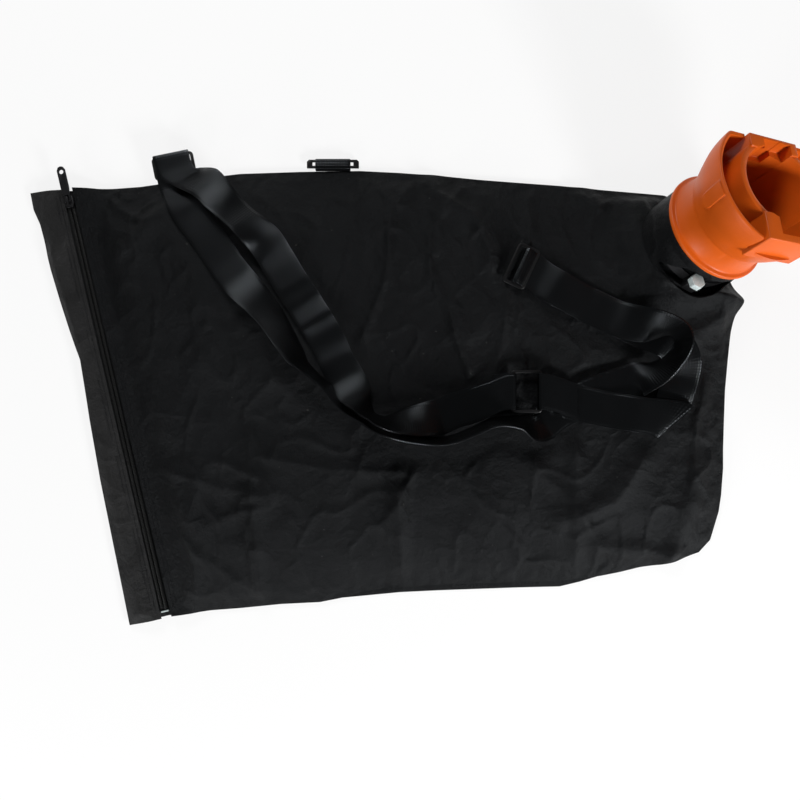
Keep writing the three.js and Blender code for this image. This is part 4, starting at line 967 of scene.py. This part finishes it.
class LEAFBAG_OT_front_cloth(bpy.types.Operator):
    """Front cloth with its folds, small creases and the room for the neck"""

    bl_idname = "leaf_bag.front_cloth"
    bl_label = "Front Cloth"

    def execute(self, context):
        sizes = context.scene.leaf_bag_sizes

        def place(u, v):
            x, y = FRONT_PLAN(u, v)
            return to_frame(x, y, fine_height(x, y, sizes.crease_depth))

        cloth = grid_piece("front_cloth", sizes.front_columns, sizes.front_rows, place)
        clear_neck(cloth)
        thicken(cloth, CLOTH_THICK, -1)
        smooth(cloth, 60)
        finish_piece(cloth, "bag", "body_cloth", ["front_panel"])
        return {"FINISHED"}


def fine_height(x, y, depth):
    """Main folds with rolling dents, creases, and puckers along the seams, in millimetres."""
    z = cloth_height(x, y)
    inside = path_distance(x, y, OUTLINE, closed=True)
    beside = np.abs(zip_offset(x, y))
    web = path_distance(x, y, ROUTE_PLAN)
    neck = np.hypot(x - 287, y - 152)
    free = smoothstep(2, 22, inside) * smoothstep(16, 46, beside) * smoothstep(20, 40, web)
    free = free * smoothstep(48, 80, neck)
    bend = rolling(x, y, 60, 9.1) * 14
    z = z + depth * free * 2.4 * rolling(x + bend, y, 55, 1.3)
    z = z + depth * free * 2.4 * ridged(x + bend, y * 0.7 + bend, 84, 2.7) ** 4
    z = z + depth * free * 1.5 * ridged(x * 1.2 - bend, y + bend, 47, 5.5) ** 4
    z = z + depth * free * 0.4 * ridged(x - bend, y * 0.8 + bend, 19, 8.1) ** 2
    for path, rise, spread in CREASES:
        away = path_distance(x, y, path) + 2.5 * np.abs(rolling(x, y, 23, 5.1))
        z = z + rise * free * np.exp(-away / spread)
    rim = smoothstep(0, 3, inside) * (1 - smoothstep(8, 26, inside)) * smoothstep(12, 24, beside)
    z = z + depth * rim * 1.1 * rolling(x, y, 9, 3.9)
    welt = path_distance(x, y, NECK_SEAM)
    z = z + 2.2 * np.exp(-((welt / 3.2) ** 2)) * smoothstep(2, 8, inside)
    rim_neck = smoothstep(50, 56, neck) * (1 - smoothstep(62, 95, neck))
    return z + depth * rim_neck * 1.0 * rolling(x, y, 14, 6.2) * smoothstep(3, 10, inside)


def clear_neck(cloth):
    """Deletes the cloth inside the neck's casing."""
    inverse = neck_matrix().inverted()
    local = [inverse @ vertex.co for vertex in cloth.data.vertices]
    within = [math.hypot(p.x, p.y) < (SLEEVE_OUTER - 1.4) * MM for p in local]
    edit_all(cloth)
    bpy.ops.mesh.select_mode(type="FACE")
    bpy.ops.mesh.select_all(action="DESELECT")
    leave_edit()
    for face in cloth.data.polygons:
        face.select = all(within[i] for i in face.vertices)
    bpy.ops.object.mode_set(mode="EDIT")
    bpy.ops.mesh.delete(type="FACE")
    bpy.ops.mesh.select_mode(type="VERT")
    leave_edit()


class LEAFBAG_OT_end_cloth(bpy.types.Operator):
    """Cloth strip between the zip and the bag's end"""

    bl_idname = "leaf_bag.end_cloth"
    bl_label = "End Cloth"

    def execute(self, context):
        depth = context.scene.leaf_bag_sizes.crease_depth

        def place(u, v):
            x, y = STRIP_PLAN(u, v)
            z = cloth_height(x, y)
            inside = path_distance(x, y, OUTLINE, closed=True)
            free = smoothstep(1, 8, inside) * smoothstep(7, 18, np.abs(zip_offset(x, y)))
            dents = 1.4 * rolling(x, y, 34, 4.4) + 0.8 * ridged(x, y, 40, 8.8) ** 3
            return to_frame(x, y, z + depth * free * dents)

        strip = grid_piece("end_cloth", 30, 180, place)
        thicken(strip, CLOTH_THICK, -1)
        smooth(strip, 60)
        finish_piece(strip, "bag", "end_cloth", ["end_strip"])
        return {"FINISHED"}


class LEAFBAG_OT_back_cloth(bpy.types.Operator):
    """Back cloth, flat on the ground, with softened edges"""

    bl_idname = "leaf_bag.back_cloth"
    bl_label = "Back Cloth"

    def execute(self, context):
        back = frame_copy("back_cloth", "back_panel")
        dissolve_flat(back, 1)
        round_edges(back, 0.35, 2, 60)
        smooth(back, 40)
        finish_piece(back, "bag", "body_cloth", ["back_panel"])
        return {"FINISHED"}


class LEAFBAG_OT_neck_sleeve(bpy.types.Operator):
    """Cloth casing around the collar's spigot, with its gathers, hem and pocket mouth"""

    bl_idname = "leaf_bag.neck_sleeve"
    bl_label = "Neck Sleeve"

    def execute(self, context):
        outer = np.linspace(-46, -4.6, 36)
        rim = [(-3.8, 52.6), (-3, 52), (-2.4, 50.8), (-2.4, 49.6), (-3.2, 48.7), (-4.6, 48.5)]
        hollow = [(-43, 48.5), (-43, 49.3), (-7.6, 49.3), (-6.6, 49.9)]
        profile = [(h, SLEEVE_OUTER, 1.0) for h in outer]
        profile += [(h, r, 0.0) for h, r in rim + hollow]
        profile += [(min(h, -6.6), SLEEVE_OUTER - 1.1, 1.0) for h in outer[::-1]]
        count = len(profile)
        heights, radii, swell = np.array(profile + profile[:1]).T

        def place(u, v):
            degrees = u * 360
            a = np.radians(degrees)
            i = np.rint(v * count).astype(int)
            h, r, s = heights[i], radii[i], swell[i]
            gather = np.array([
                noise.noise(Vector((3.5 * math.cos(turn), 3.5 * math.sin(turn), 0.02 * height)))
                for turn, height in zip(a, h)
            ])
            ripple = np.sin(np.radians(degrees * 22)) * 0.25 + gather * 1.1
            loose = smoothstep(-46, -30, h) * (1 - smoothstep(-12, -7, h))
            r = r + pocket_bulge(degrees, h) * s + s * ripple * 0.5 * loose
            return np.stack((r * np.cos(a), r * np.sin(a), h), axis=-1) * MM

        sleeve = grid_piece("neck_cloth", 168, count, place)
        edit_all(sleeve)
        merge_all()
        leave_edit()
        cut(sleeve, pocket_mouth())
        sleeve.data.transform(neck_matrix())
        ground = box_piece("ground_cut", (-500, -500, -200), (500, 500, 1.7), Matrix.Identity(4))
        cut(sleeve, ground)
        smooth(sleeve, 50)
        finish_piece(sleeve, "bag", "body_cloth", ["neck_sleeve"])
        return {"FINISHED"}


def pocket_bulge(degrees, height):
    """How far the pocket for the clamp stands out of the casing."""
    away = np.abs((degrees + 54 + 540) % 360 - 180)
    around = np.where(away < 56, np.cos(np.minimum(away, 56) / 56 * math.pi / 2) ** 2, 0)
    rise = smoothstep(-42, -28, height) * (1 - smoothstep(-22, -11.5, height))
    return 12 * around * rise


# The pocket mouth's stations: degrees around the neck, then its upper and lower heights
MOUTH = [
    (-97, -33, -34.5), (-88, -21, -35), (-76, -13, -33), (-64, -10.9, -31), (-52, -10.9, -29),
    (-40, -10.9, -26.5), (-28, -11.2, -23), (-18, -12.2, -19), (-10, -14, -15.5),
]


def pocket_mouth():
    """The pocket's opening as a cutter in the collar's own frame."""
    columns = 44
    stations, *heights = np.array(MOUTH, dtype=float).T
    angles = np.linspace(stations[0], stations[-1], columns + 1)
    kernel = np.ones(5) / 5
    high, low = (
        np.convolve(np.pad(np.interp(angles, stations, h), 2, "edge"), kernel, "valid")
        for h in heights
    )

    def place(u, v):
        i = np.rint(u * columns).astype(int)
        j = np.rint(v * 4).astype(int) % 4
        radius = np.where((j == 0) | (j == 3), 50.9, 82.0)
        h = np.where(j < 2, low[i], high[i])
        a = np.radians(angles[i])
        return np.stack((radius * np.cos(a), radius * np.sin(a), h), axis=-1) * MM

    cutter = grid_piece("mouth_cut", columns, 4, place)
    edit_all(cutter)
    bpy.ops.mesh.remove_doubles(threshold=1e-5)
    bpy.ops.mesh.select_all(action="DESELECT")
    bpy.ops.mesh.select_non_manifold()
    bpy.ops.mesh.edge_face_add()
    bpy.ops.mesh.select_all(action="SELECT")
    bpy.ops.mesh.fill_holes(sides=4)
    bpy.ops.mesh.normals_make_consistent(inside=False)
    leave_edit()
    return cutter


class LEAFBAG_OT_clamp(bpy.types.Operator):
    """Band clamp in the casing, its housing and its hex screw"""

    bl_idname = "leaf_bag.clamp"
    bl_label = "Clamp"

    def execute(self, context):
        towards_screw = neck_matrix(-58.9)
        place = towards_screw @ Matrix.Translation((56.9 * MM, 0, 0))
        band = turned_piece(
            "band_ring", [(49.8, -30), (50.7, -30), (50.7, -19.5), (49.8, -19.5)], neck_matrix()
        )
        smooth(band)
        finish_piece(band, "bag", "black_metal", ["clamp_band"])
        housing = box_piece(
            "screw_housing", (51.2, -6.5, -30), (60.8, 6.5, -19.6), towards_screw, 1.0
        )
        cut(housing, rod_piece("housing_hole", 2.9, -28, -10, place, 32))
        smooth(housing)
        finish_piece(housing, "bag", "black_plastic", ["clamp_housing"])
        out = place @ Matrix.Translation((0.7 * MM, 0, 0))
        head = rod_piece("hex_screw", 8.2, -19.2, -12.6, out, 6, 0.7)
        shank = rod_piece("hex_shank", 2.5, -27.4, -19, place, 24)
        unite(head, shank)
        smooth(head)
        finish_piece(head, "bag", "zinc", ["clamp_screw"])
        return {"FINISHED"}


# Sections of the collar, turned about its axis: radius and height in millimetres
TUBE_SECTION = [
    (44.3, -36), (47.4, -36), (48, -35.2), (48, -1.4), (54.5, -1.1), (55.2, -0.6),
    (55.5, 0.3), (55.5, 2.2), (55.1, 3.1), (54.2, 3.6), (52.6, 3.9), (51.6, 4.6), (51, 6.2),
    (50.2, 12), (49.4, 28), (48, 31.2), (45.5, 34), (44.9, 36), (44.9, 79.4), (44.5, 80.5),
    (43.6, 81), (39.9, 81), (38.9, 80.7), (38.5, 79.8), (38.5, 8), (40, 3.2), (43.5, -2),
    (43.5, -34.8), (43.7, -35.7),
]
BELL_OUTSIDE = [
    (49.4, 25), (50.6, 27.4), (52.3, 30), (54.7, 35), (56.9, 40), (58.9, 45), (60.9, 50),
    (62.7, 55), (64, 60), (65, 66), (65.6, 71), (66, 76.4), (65.8, 77.6), (65.1, 78.3),
    (64.3, 78.5),
]
BELL_INSIDE = [
    (63.3, 78.3), (62.6, 77.6), (61.5, 76.4), (61.1, 66), (60.3, 60.5), (58.9, 56), (56.8, 51.8),
    (54.6, 48.4), (52.2, 46), (49.6, 44.8),
]


class LEAFBAG_OT_collar(bpy.types.Operator):
    """Orange collar: spigot, flange, inner tube, outer bell, key blocks and tongue"""

    bl_idname = "leaf_bag.collar"
    bl_label = "Collar"

    def execute(self, context):
        tube = turned_piece("orange_collar", TUBE_SECTION, neck_matrix())
        bell = turned_piece(
            "bell", [(42, 25)] + BELL_OUTSIDE + BELL_INSIDE + [(42, 43.6)], neck_matrix()
        )
        upper, lower = neck_matrix(141), neck_matrix(-39)
        wall = turned_piece("flat_wall", [(0, 25)] + BELL_OUTSIDE + [(0, 78.5)], neck_matrix())
        slab = box_piece("wall_slab", (FLAT_SIDE - 3.5, -66, 25), (FLAT_SIDE, 66, 81), upper)
        combine(wall, slab, "INTERSECT")
        cut(wall, box_piece("wall_gap", (0, -29.5, 46), (66, 29.5, 100), upper, 1.0))
        cut(
            bell,
            box_piece("flat_side", (FLAT_SIDE, -75, 0), (92, 75, 100), upper),
            box_piece("lower_gap", (50, -30, 58), (92, 30, 100), lower, 2.5),
        )
        unite(bell, wall)
        tube_block = box_piece("upper_key", (33, -28, 45), (46.6, 28, 83), upper, 1.2)
        lower_block = box_piece("lower_key", (33, -28, 50), (60, 28, 83), lower, 1.2)
        unite(tube, bell, tongue_piece())
        bore = rod_piece("bore", BORE, -60, 120, neck_matrix(), 144)
        unite(tube_block, lower_block)
        cut(tube_block, bore)
        unite(tube, tube_block)
        keyway = box_piece("keyway", (27, -7, 58), (43.6, 12, 90), upper, 1.0)
        side_key = box_piece("keyway_side", (27, -20, 70), (43, -6, 90), upper, 1.0)
        sideways = Matrix.Rotation(math.pi / 2, 4, "Y")
        through = upper @ Matrix.Translation((0, 2 * MM, 72 * MM)) @ sideways
        eye = rod_piece("key_eye", 1.8, 40, 60, through, 32)
        slot = box_piece("lower_slot", (27, -12, 62), (53, 12, 90), lower, 1.2)
        cut(tube, keyway, side_key, eye, slot)
        round_edges(tube, 0.5, 2, 50)
        smooth(tube, 40)
        finish_piece(tube, "bag", "orange_plastic", ["collar"])
        return {"FINISHED"}


def tongue_piece():
    """Rounded pad on the bell's outside."""
    tilt = Matrix.Translation((62.9 * MM, 0, 54 * MM)) @ Matrix.Rotation(math.radians(9), 4, "Y")
    place = neck_matrix(-117) @ tilt @ Matrix.Rotation(math.pi / 2, 4, "Y")
    pad = rod_piece("tongue", 7, -6, 1.2, place, 48, 0.8)
    bar = box_piece("tongue_bar", (-22, -7, -6), (0, 7, 1.2), place, 0.8)
    return unite(pad, bar)


class LEAFBAG_OT_zip(bpy.types.Operator):
    """Both zip tapes with their coil turns, the stops, the slider and its pull"""

    bl_idname = "leaf_bag.zip"
    bl_label = "Zip"

    def execute(self, context):
        pitch = context.scene.leaf_bag_sizes.tooth_pitch / MM
        back = Matrix((
            (ZIP_ACROSS[0], -ZIP_ALONG[0], 0, (ZIP_TOP[0] + PLAN_X) * MM),
            (ZIP_ACROSS[1], -ZIP_ALONG[1], 0, (ZIP_TOP[1] + PLAN_Y) * MM),
            (0, 0, 1, 0),
            (0, 0, 0, 1),
        ))
        for side, node, name in (
            (1, "zip_tape_body", "tape_body"), (-1, "zip_tape_end", "tape_end")
        ):
            low, high = sorted(side * reach for reach in TAPE_REACH)
            tape = box_piece(name, (low, 6 - ZIP_LENGTH, 8), (high, -6, 9), back, 0.2, 2)
            tape.data.materials.append(material("zip_tape"))
            inner, outer = sorted(side * reach for reach in COIL_REACH)
            tooth = box_piece(
                "coil_turn", (inner, -COIL_START - pitch * 0.72, 8.9),
                (outer, -COIL_START, 11.2), back, 0.42, 2,
            )
            tooth.data.materials.append(material("coil"))
            step = Vector((ZIP_ALONG[0], ZIP_ALONG[1], 0)) * (pitch * MM)
            repeat_along(tooth, int((ZIP_LENGTH - 2 * COIL_START) / pitch), step)
            tape = join_pieces(name, [tape, tooth])
            smooth(tape)
            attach(tape, "bag")
            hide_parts(node)
        rows = [
            stitch_row(back, (offset, -7), (offset, 7 - ZIP_LENGTH), ZIP_SHELF + 0.2)
            for offset in (-13.2, -9.4, 9.4, 13.2)
        ]
        plan = Matrix.Translation((PLAN_X * MM, PLAN_Y * MM, 0))
        rows.append(stitch_row(plan, (131.5, -39), (132.3, -57), LOFT + 0.3))
        rows.append(stitch_row(plan, (130, -59.5), (142.5, -60.5), LOFT + 0.3))
        thread = join_pieces("thread_rows", rows)
        finish_piece(thread, "bag", "body_cloth", finish="thread")
        rounded_copy("stop_top", "zip_stop_top", "bag", "black_metal", 0.35)
        rounded_copy("stop_bottom", "zip_stop_bottom", "bag", "zinc", 0.35)
        rounded_copy("slider_shell", "zip_slider", "slider", "black_metal", 0.3)
        rounded_copy("pull_tab", "zip_pull", "pull", "black_metal", 0.35)
        return {"FINISHED"}


def stitch_row(matrix, start, end, height):
    """A straight row of lockstitches lying on the cloth."""
    run = Vector((end[0] - start[0], end[1] - start[1], 0))
    pitch, long, wide = 3.0, 2.1, 0.55
    turn = Matrix.Rotation(math.atan2(run.y, run.x), 4, "Z")
    place = matrix @ Matrix.Translation(Vector((*start, height)) * MM) @ turn
    stitch = box_piece("stitch", (0, -wide / 2, -0.25), (long, wide / 2, 0.25), place, 0.18, 1)
    step = (place.to_3x3() @ Vector((1, 0, 0))) * (pitch * MM)
    repeat_along(stitch, max(2, int(run.length / pitch)), step)
    return stitch


def rounded_copy(name, node, body, slot, width):
    """A frame node's shape with its sharp edges rounded."""
    piece = frame_copy(name, node)
    dissolve_flat(piece, 2)
    round_edges(piece, width, 3, 40)
    smooth(piece, 35)
    finish_piece(piece, body, slot, [node])


class LEAFBAG_OT_strap(bpy.types.Operator):
    """The long webbing strap along its whole route"""

    bl_idname = "leaf_bag.strap"
    bl_label = "Strap"

    def execute(self, context):
        middles, edges = refine(strap_knots(), 3.0)
        middles = lifted_clear(middles, edges)
        strap = ribbon_piece("webbing_strap", middles, edges, WEB_ARCH)
        finish_piece(strap, "bag", "webbing", ["shoulder_strap"])
        return {"FINISHED"}


def raised(points, height):
    return points + np.stack((0 * height, 0 * height, height), axis=-1)


def lifted_clear(middles, edges):
    """A ribbon's stations, raised until its whole width clears the cloth."""
    missing = np.zeros(len(middles))
    for side in (-1, -0.5, 0, 0.5, 1):
        x, y, z = (middles + edges * side).T
        floor = cloth_height(x, y) + 0.4 + WEB_THICK / 2
        missing = np.maximum(missing, np.where(inside_outline(x, y), floor - z, 0))
    return raised(middles, missing)


def ribbon_piece(name, middles, edges, arch=0.0):
    """Webbing along its stations, with loose stretches that arch up to a height."""
    steps = np.linalg.norm(np.diff(middles, axis=0), axis=1)
    reach = np.concatenate(([0], np.cumsum(steps)))
    wave = rolling(reach, reach * 0.31, 62, 7.7) + 0.35 * rolling(reach, reach * 0.2, 27, 2.1)
    middles = raised(middles, arch * np.clip(wave + 0.2, 0, 1))
    last = len(middles) - 1
    width = 2 * WEB_HALF

    def place(u, v):
        i = np.rint(u * last).astype(int)
        side = v * 2 - 1
        point = middles[i] + edges[i] * side[:, None]
        return to_frame(point[:, 0], point[:, 1], point[:, 2])

    def uv(u, v):
        i = np.rint(u * last).astype(int)
        return np.stack((reach[i], (v - 0.5) * width), axis=-1) * MM

    piece = grid_piece(name, last, 8, place, uv)
    thicken(piece, WEB_THICK, 0)
    round_edges(piece, 0.35, 2, 60)
    smooth(piece, 50)
    return piece


def inside_outline(x, y):
    """Which points lie over the bag, by how often a line from them crosses its outline."""
    inside = np.zeros(np.shape(x), dtype=bool)
    ends = OUTLINE + [OUTLINE[0]]
    for (ax, ay), (bx, by) in zip(ends[:-1], ends[1:]):
        if ay == by:
            continue
        crosses = ((ay > y) != (by > y)) & (x < ax + (y - ay) / (by - ay) * (bx - ax))
        inside ^= crosses
    return inside


class LEAFBAG_OT_hardware(bpy.types.Operator):
    """Slide adjusters, joining ring and the rear ring with its webbing tab"""

    bl_idname = "leaf_bag.hardware"
    bl_label = "Hardware"

    def execute(self, context):
        for name, node, width in (
            ("left_slider", "adjuster_left", 0.8), ("right_slider", "adjuster_right", 0.8),
            ("joining_ring", "junction_ring", 0.8), ("back_ring", "rear_ring", 0.6),
        ):
            rounded_copy(name, node, "bag", "black_plastic", width)
        east = Vector((WEB_HALF, 0, 0))
        bar = Vector((-70.4, 249.2, 3.9))
        knots = [(Vector((bar.x, 240.95, 3.3)), east), (Vector((bar.x, 242.6, 6.4)), east)]
        knots += bar_turn(bar, Vector((0, 1, 0)), east, 3.05, False)
        knots.append((Vector((bar.x, 240.95, 0.95)), east))
        middles, edges = refine(knots, 0.8)
        tab = ribbon_piece("back_tab", middles, edges)
        finish_piece(tab, "bag", "webbing", ["rear_tab"])
        return {"FINISHED"}


class LEAFBAG_OT_stage(bpy.types.Operator):
    """Pale ground, soft lamps and the camera above"""

    bl_idname = "leaf_bag.stage"
    bl_label = "Stage"

    def execute(self, context):
        scene = context.scene
        clear_selection()
        bpy.ops.mesh.primitive_plane_add(size=14, location=(0, 0, -0.0005))
        ground = bpy.context.object
        ground.name = "ground"
        only(ground)
        bpy.ops.object.transform_apply(location=True)
        n = Nodes(bpy.data.materials.new("ground"))
        path = n.add("ShaderNodeLightPath").outputs
        seen = n.math("MAXIMUM", path["Is Camera Ray"], path["Is Glossy Ray"])
        seen = n.math("MAXIMUM", seen, path["Is Transmission Ray"])
        colour = (*scene.leaf_bag_colours.ground, 1)
        matt = n.add("ShaderNodeBsdfDiffuse", Color=colour)
        bright = n.add("ShaderNodeEmission", Color=WHITE, Strength=1.0)
        n.finish_mixed(n.math("MULTIPLY", seen, GROUND_WHITENESS), matt, bright)
        ground.data.materials.append(n.owner)

        scene.world = bpy.data.worlds.new("soft_world")
        n = Nodes(scene.world, "ShaderNodeOutputWorld")
        path = n.add("ShaderNodeLightPath").outputs
        soft = n.add("ShaderNodeBackground", Color=WHITE, Strength=WORLD_STRENGTH)
        bright = n.add("ShaderNodeBackground", Color=WHITE, Strength=1.0)
        n.finish_mixed(path["Is Camera Ray"], soft, bright)

        soft_lamp("key_lamp", (1.1, -1.2, 0.8), (0.1, -0.05, 0), 0.4, 34)
        soft_lamp("low_lamp", (-0.9, -1.2, 0.5), (-0.1, 0, 0), 0.4, 12)
        soft_lamp("top_lamp", (-0.4, 1.3, 1.0), (0.1, 0, 0), 0.5, 11)

        above = (PLAN_X * MM, PLAN_Y * MM, CAMERA_HEIGHT)
        bpy.ops.object.camera_add(location=above, rotation=(0, 0, 0))
        camera = bpy.context.object
        camera.name = "camera"
        camera.data.sensor_width = SENSOR_WIDTH
        camera.data.lens = SENSOR_WIDTH * FOCAL_PIXELS / PICTURE_PIXELS
        camera.data.clip_start = 0.01
        camera.data.dof.use_dof = False
        scene.camera = camera
        scene.view_settings.view_transform = "Standard"
        return {"FINISHED"}


def soft_lamp(name, place, target, size, power):
    """A square area lamp turned to its target."""
    bpy.ops.object.light_add(type="AREA", location=place)
    lamp = bpy.context.object
    lamp.name = name
    lamp.data.size = size
    lamp.data.energy = power
    lamp.rotation_euler = (Vector(target) - Vector(place)).to_track_quat("-Z", "Y").to_euler()


class LEAFBAG_PT_panel(bpy.types.Panel):
    """Lists the pieces of the leaf bag"""

    bl_idname = "LEAFBAG_PT_panel"
    bl_label = "Leaf Bag"
    bl_space_type = "VIEW_3D"
    bl_region_type = "UI"
    bl_category = "Leaf Bag"

    def draw(self, context):
        layout = self.layout
        for operator in OPERATORS:
            layout.operator(operator.bl_idname)
        for group in (context.scene.leaf_bag_sizes, context.scene.leaf_bag_colours):
            for key in group.__annotations__:
                layout.prop(group, key)


OPERATORS = [
    LEAFBAG_OT_stage, LEAFBAG_OT_front_cloth, LEAFBAG_OT_end_cloth, LEAFBAG_OT_back_cloth,
    LEAFBAG_OT_neck_sleeve, LEAFBAG_OT_clamp, LEAFBAG_OT_collar, LEAFBAG_OT_zip,
    LEAFBAG_OT_strap, LEAFBAG_OT_hardware,
]
CLASSES = [LeafBagSizes, LeafBagColours, *OPERATORS, LEAFBAG_PT_panel]


def register():
    for cls in CLASSES:
        bpy.utils.register_class(cls)
    bpy.types.Scene.leaf_bag_sizes = PointerProperty(type=LeafBagSizes)
    bpy.types.Scene.leaf_bag_colours = PointerProperty(type=LeafBagColours)


def unregister():
    del bpy.types.Scene.leaf_bag_colours
    del bpy.types.Scene.leaf_bag_sizes
    for cls in reversed(CLASSES):
        bpy.utils.unregister_class(cls)


def main():
    register()
    bpy.ops.leaf_bag.stage()
    bpy.ops.leaf_bag.front_cloth()
    bpy.ops.leaf_bag.end_cloth()
    bpy.ops.leaf_bag.back_cloth()
    bpy.ops.leaf_bag.neck_sleeve()
    bpy.ops.leaf_bag.clamp()
    bpy.ops.leaf_bag.collar()
    bpy.ops.leaf_bag.zip()
    bpy.ops.leaf_bag.strap()
    bpy.ops.leaf_bag.hardware()


if __name__ == "__main__":
    main()
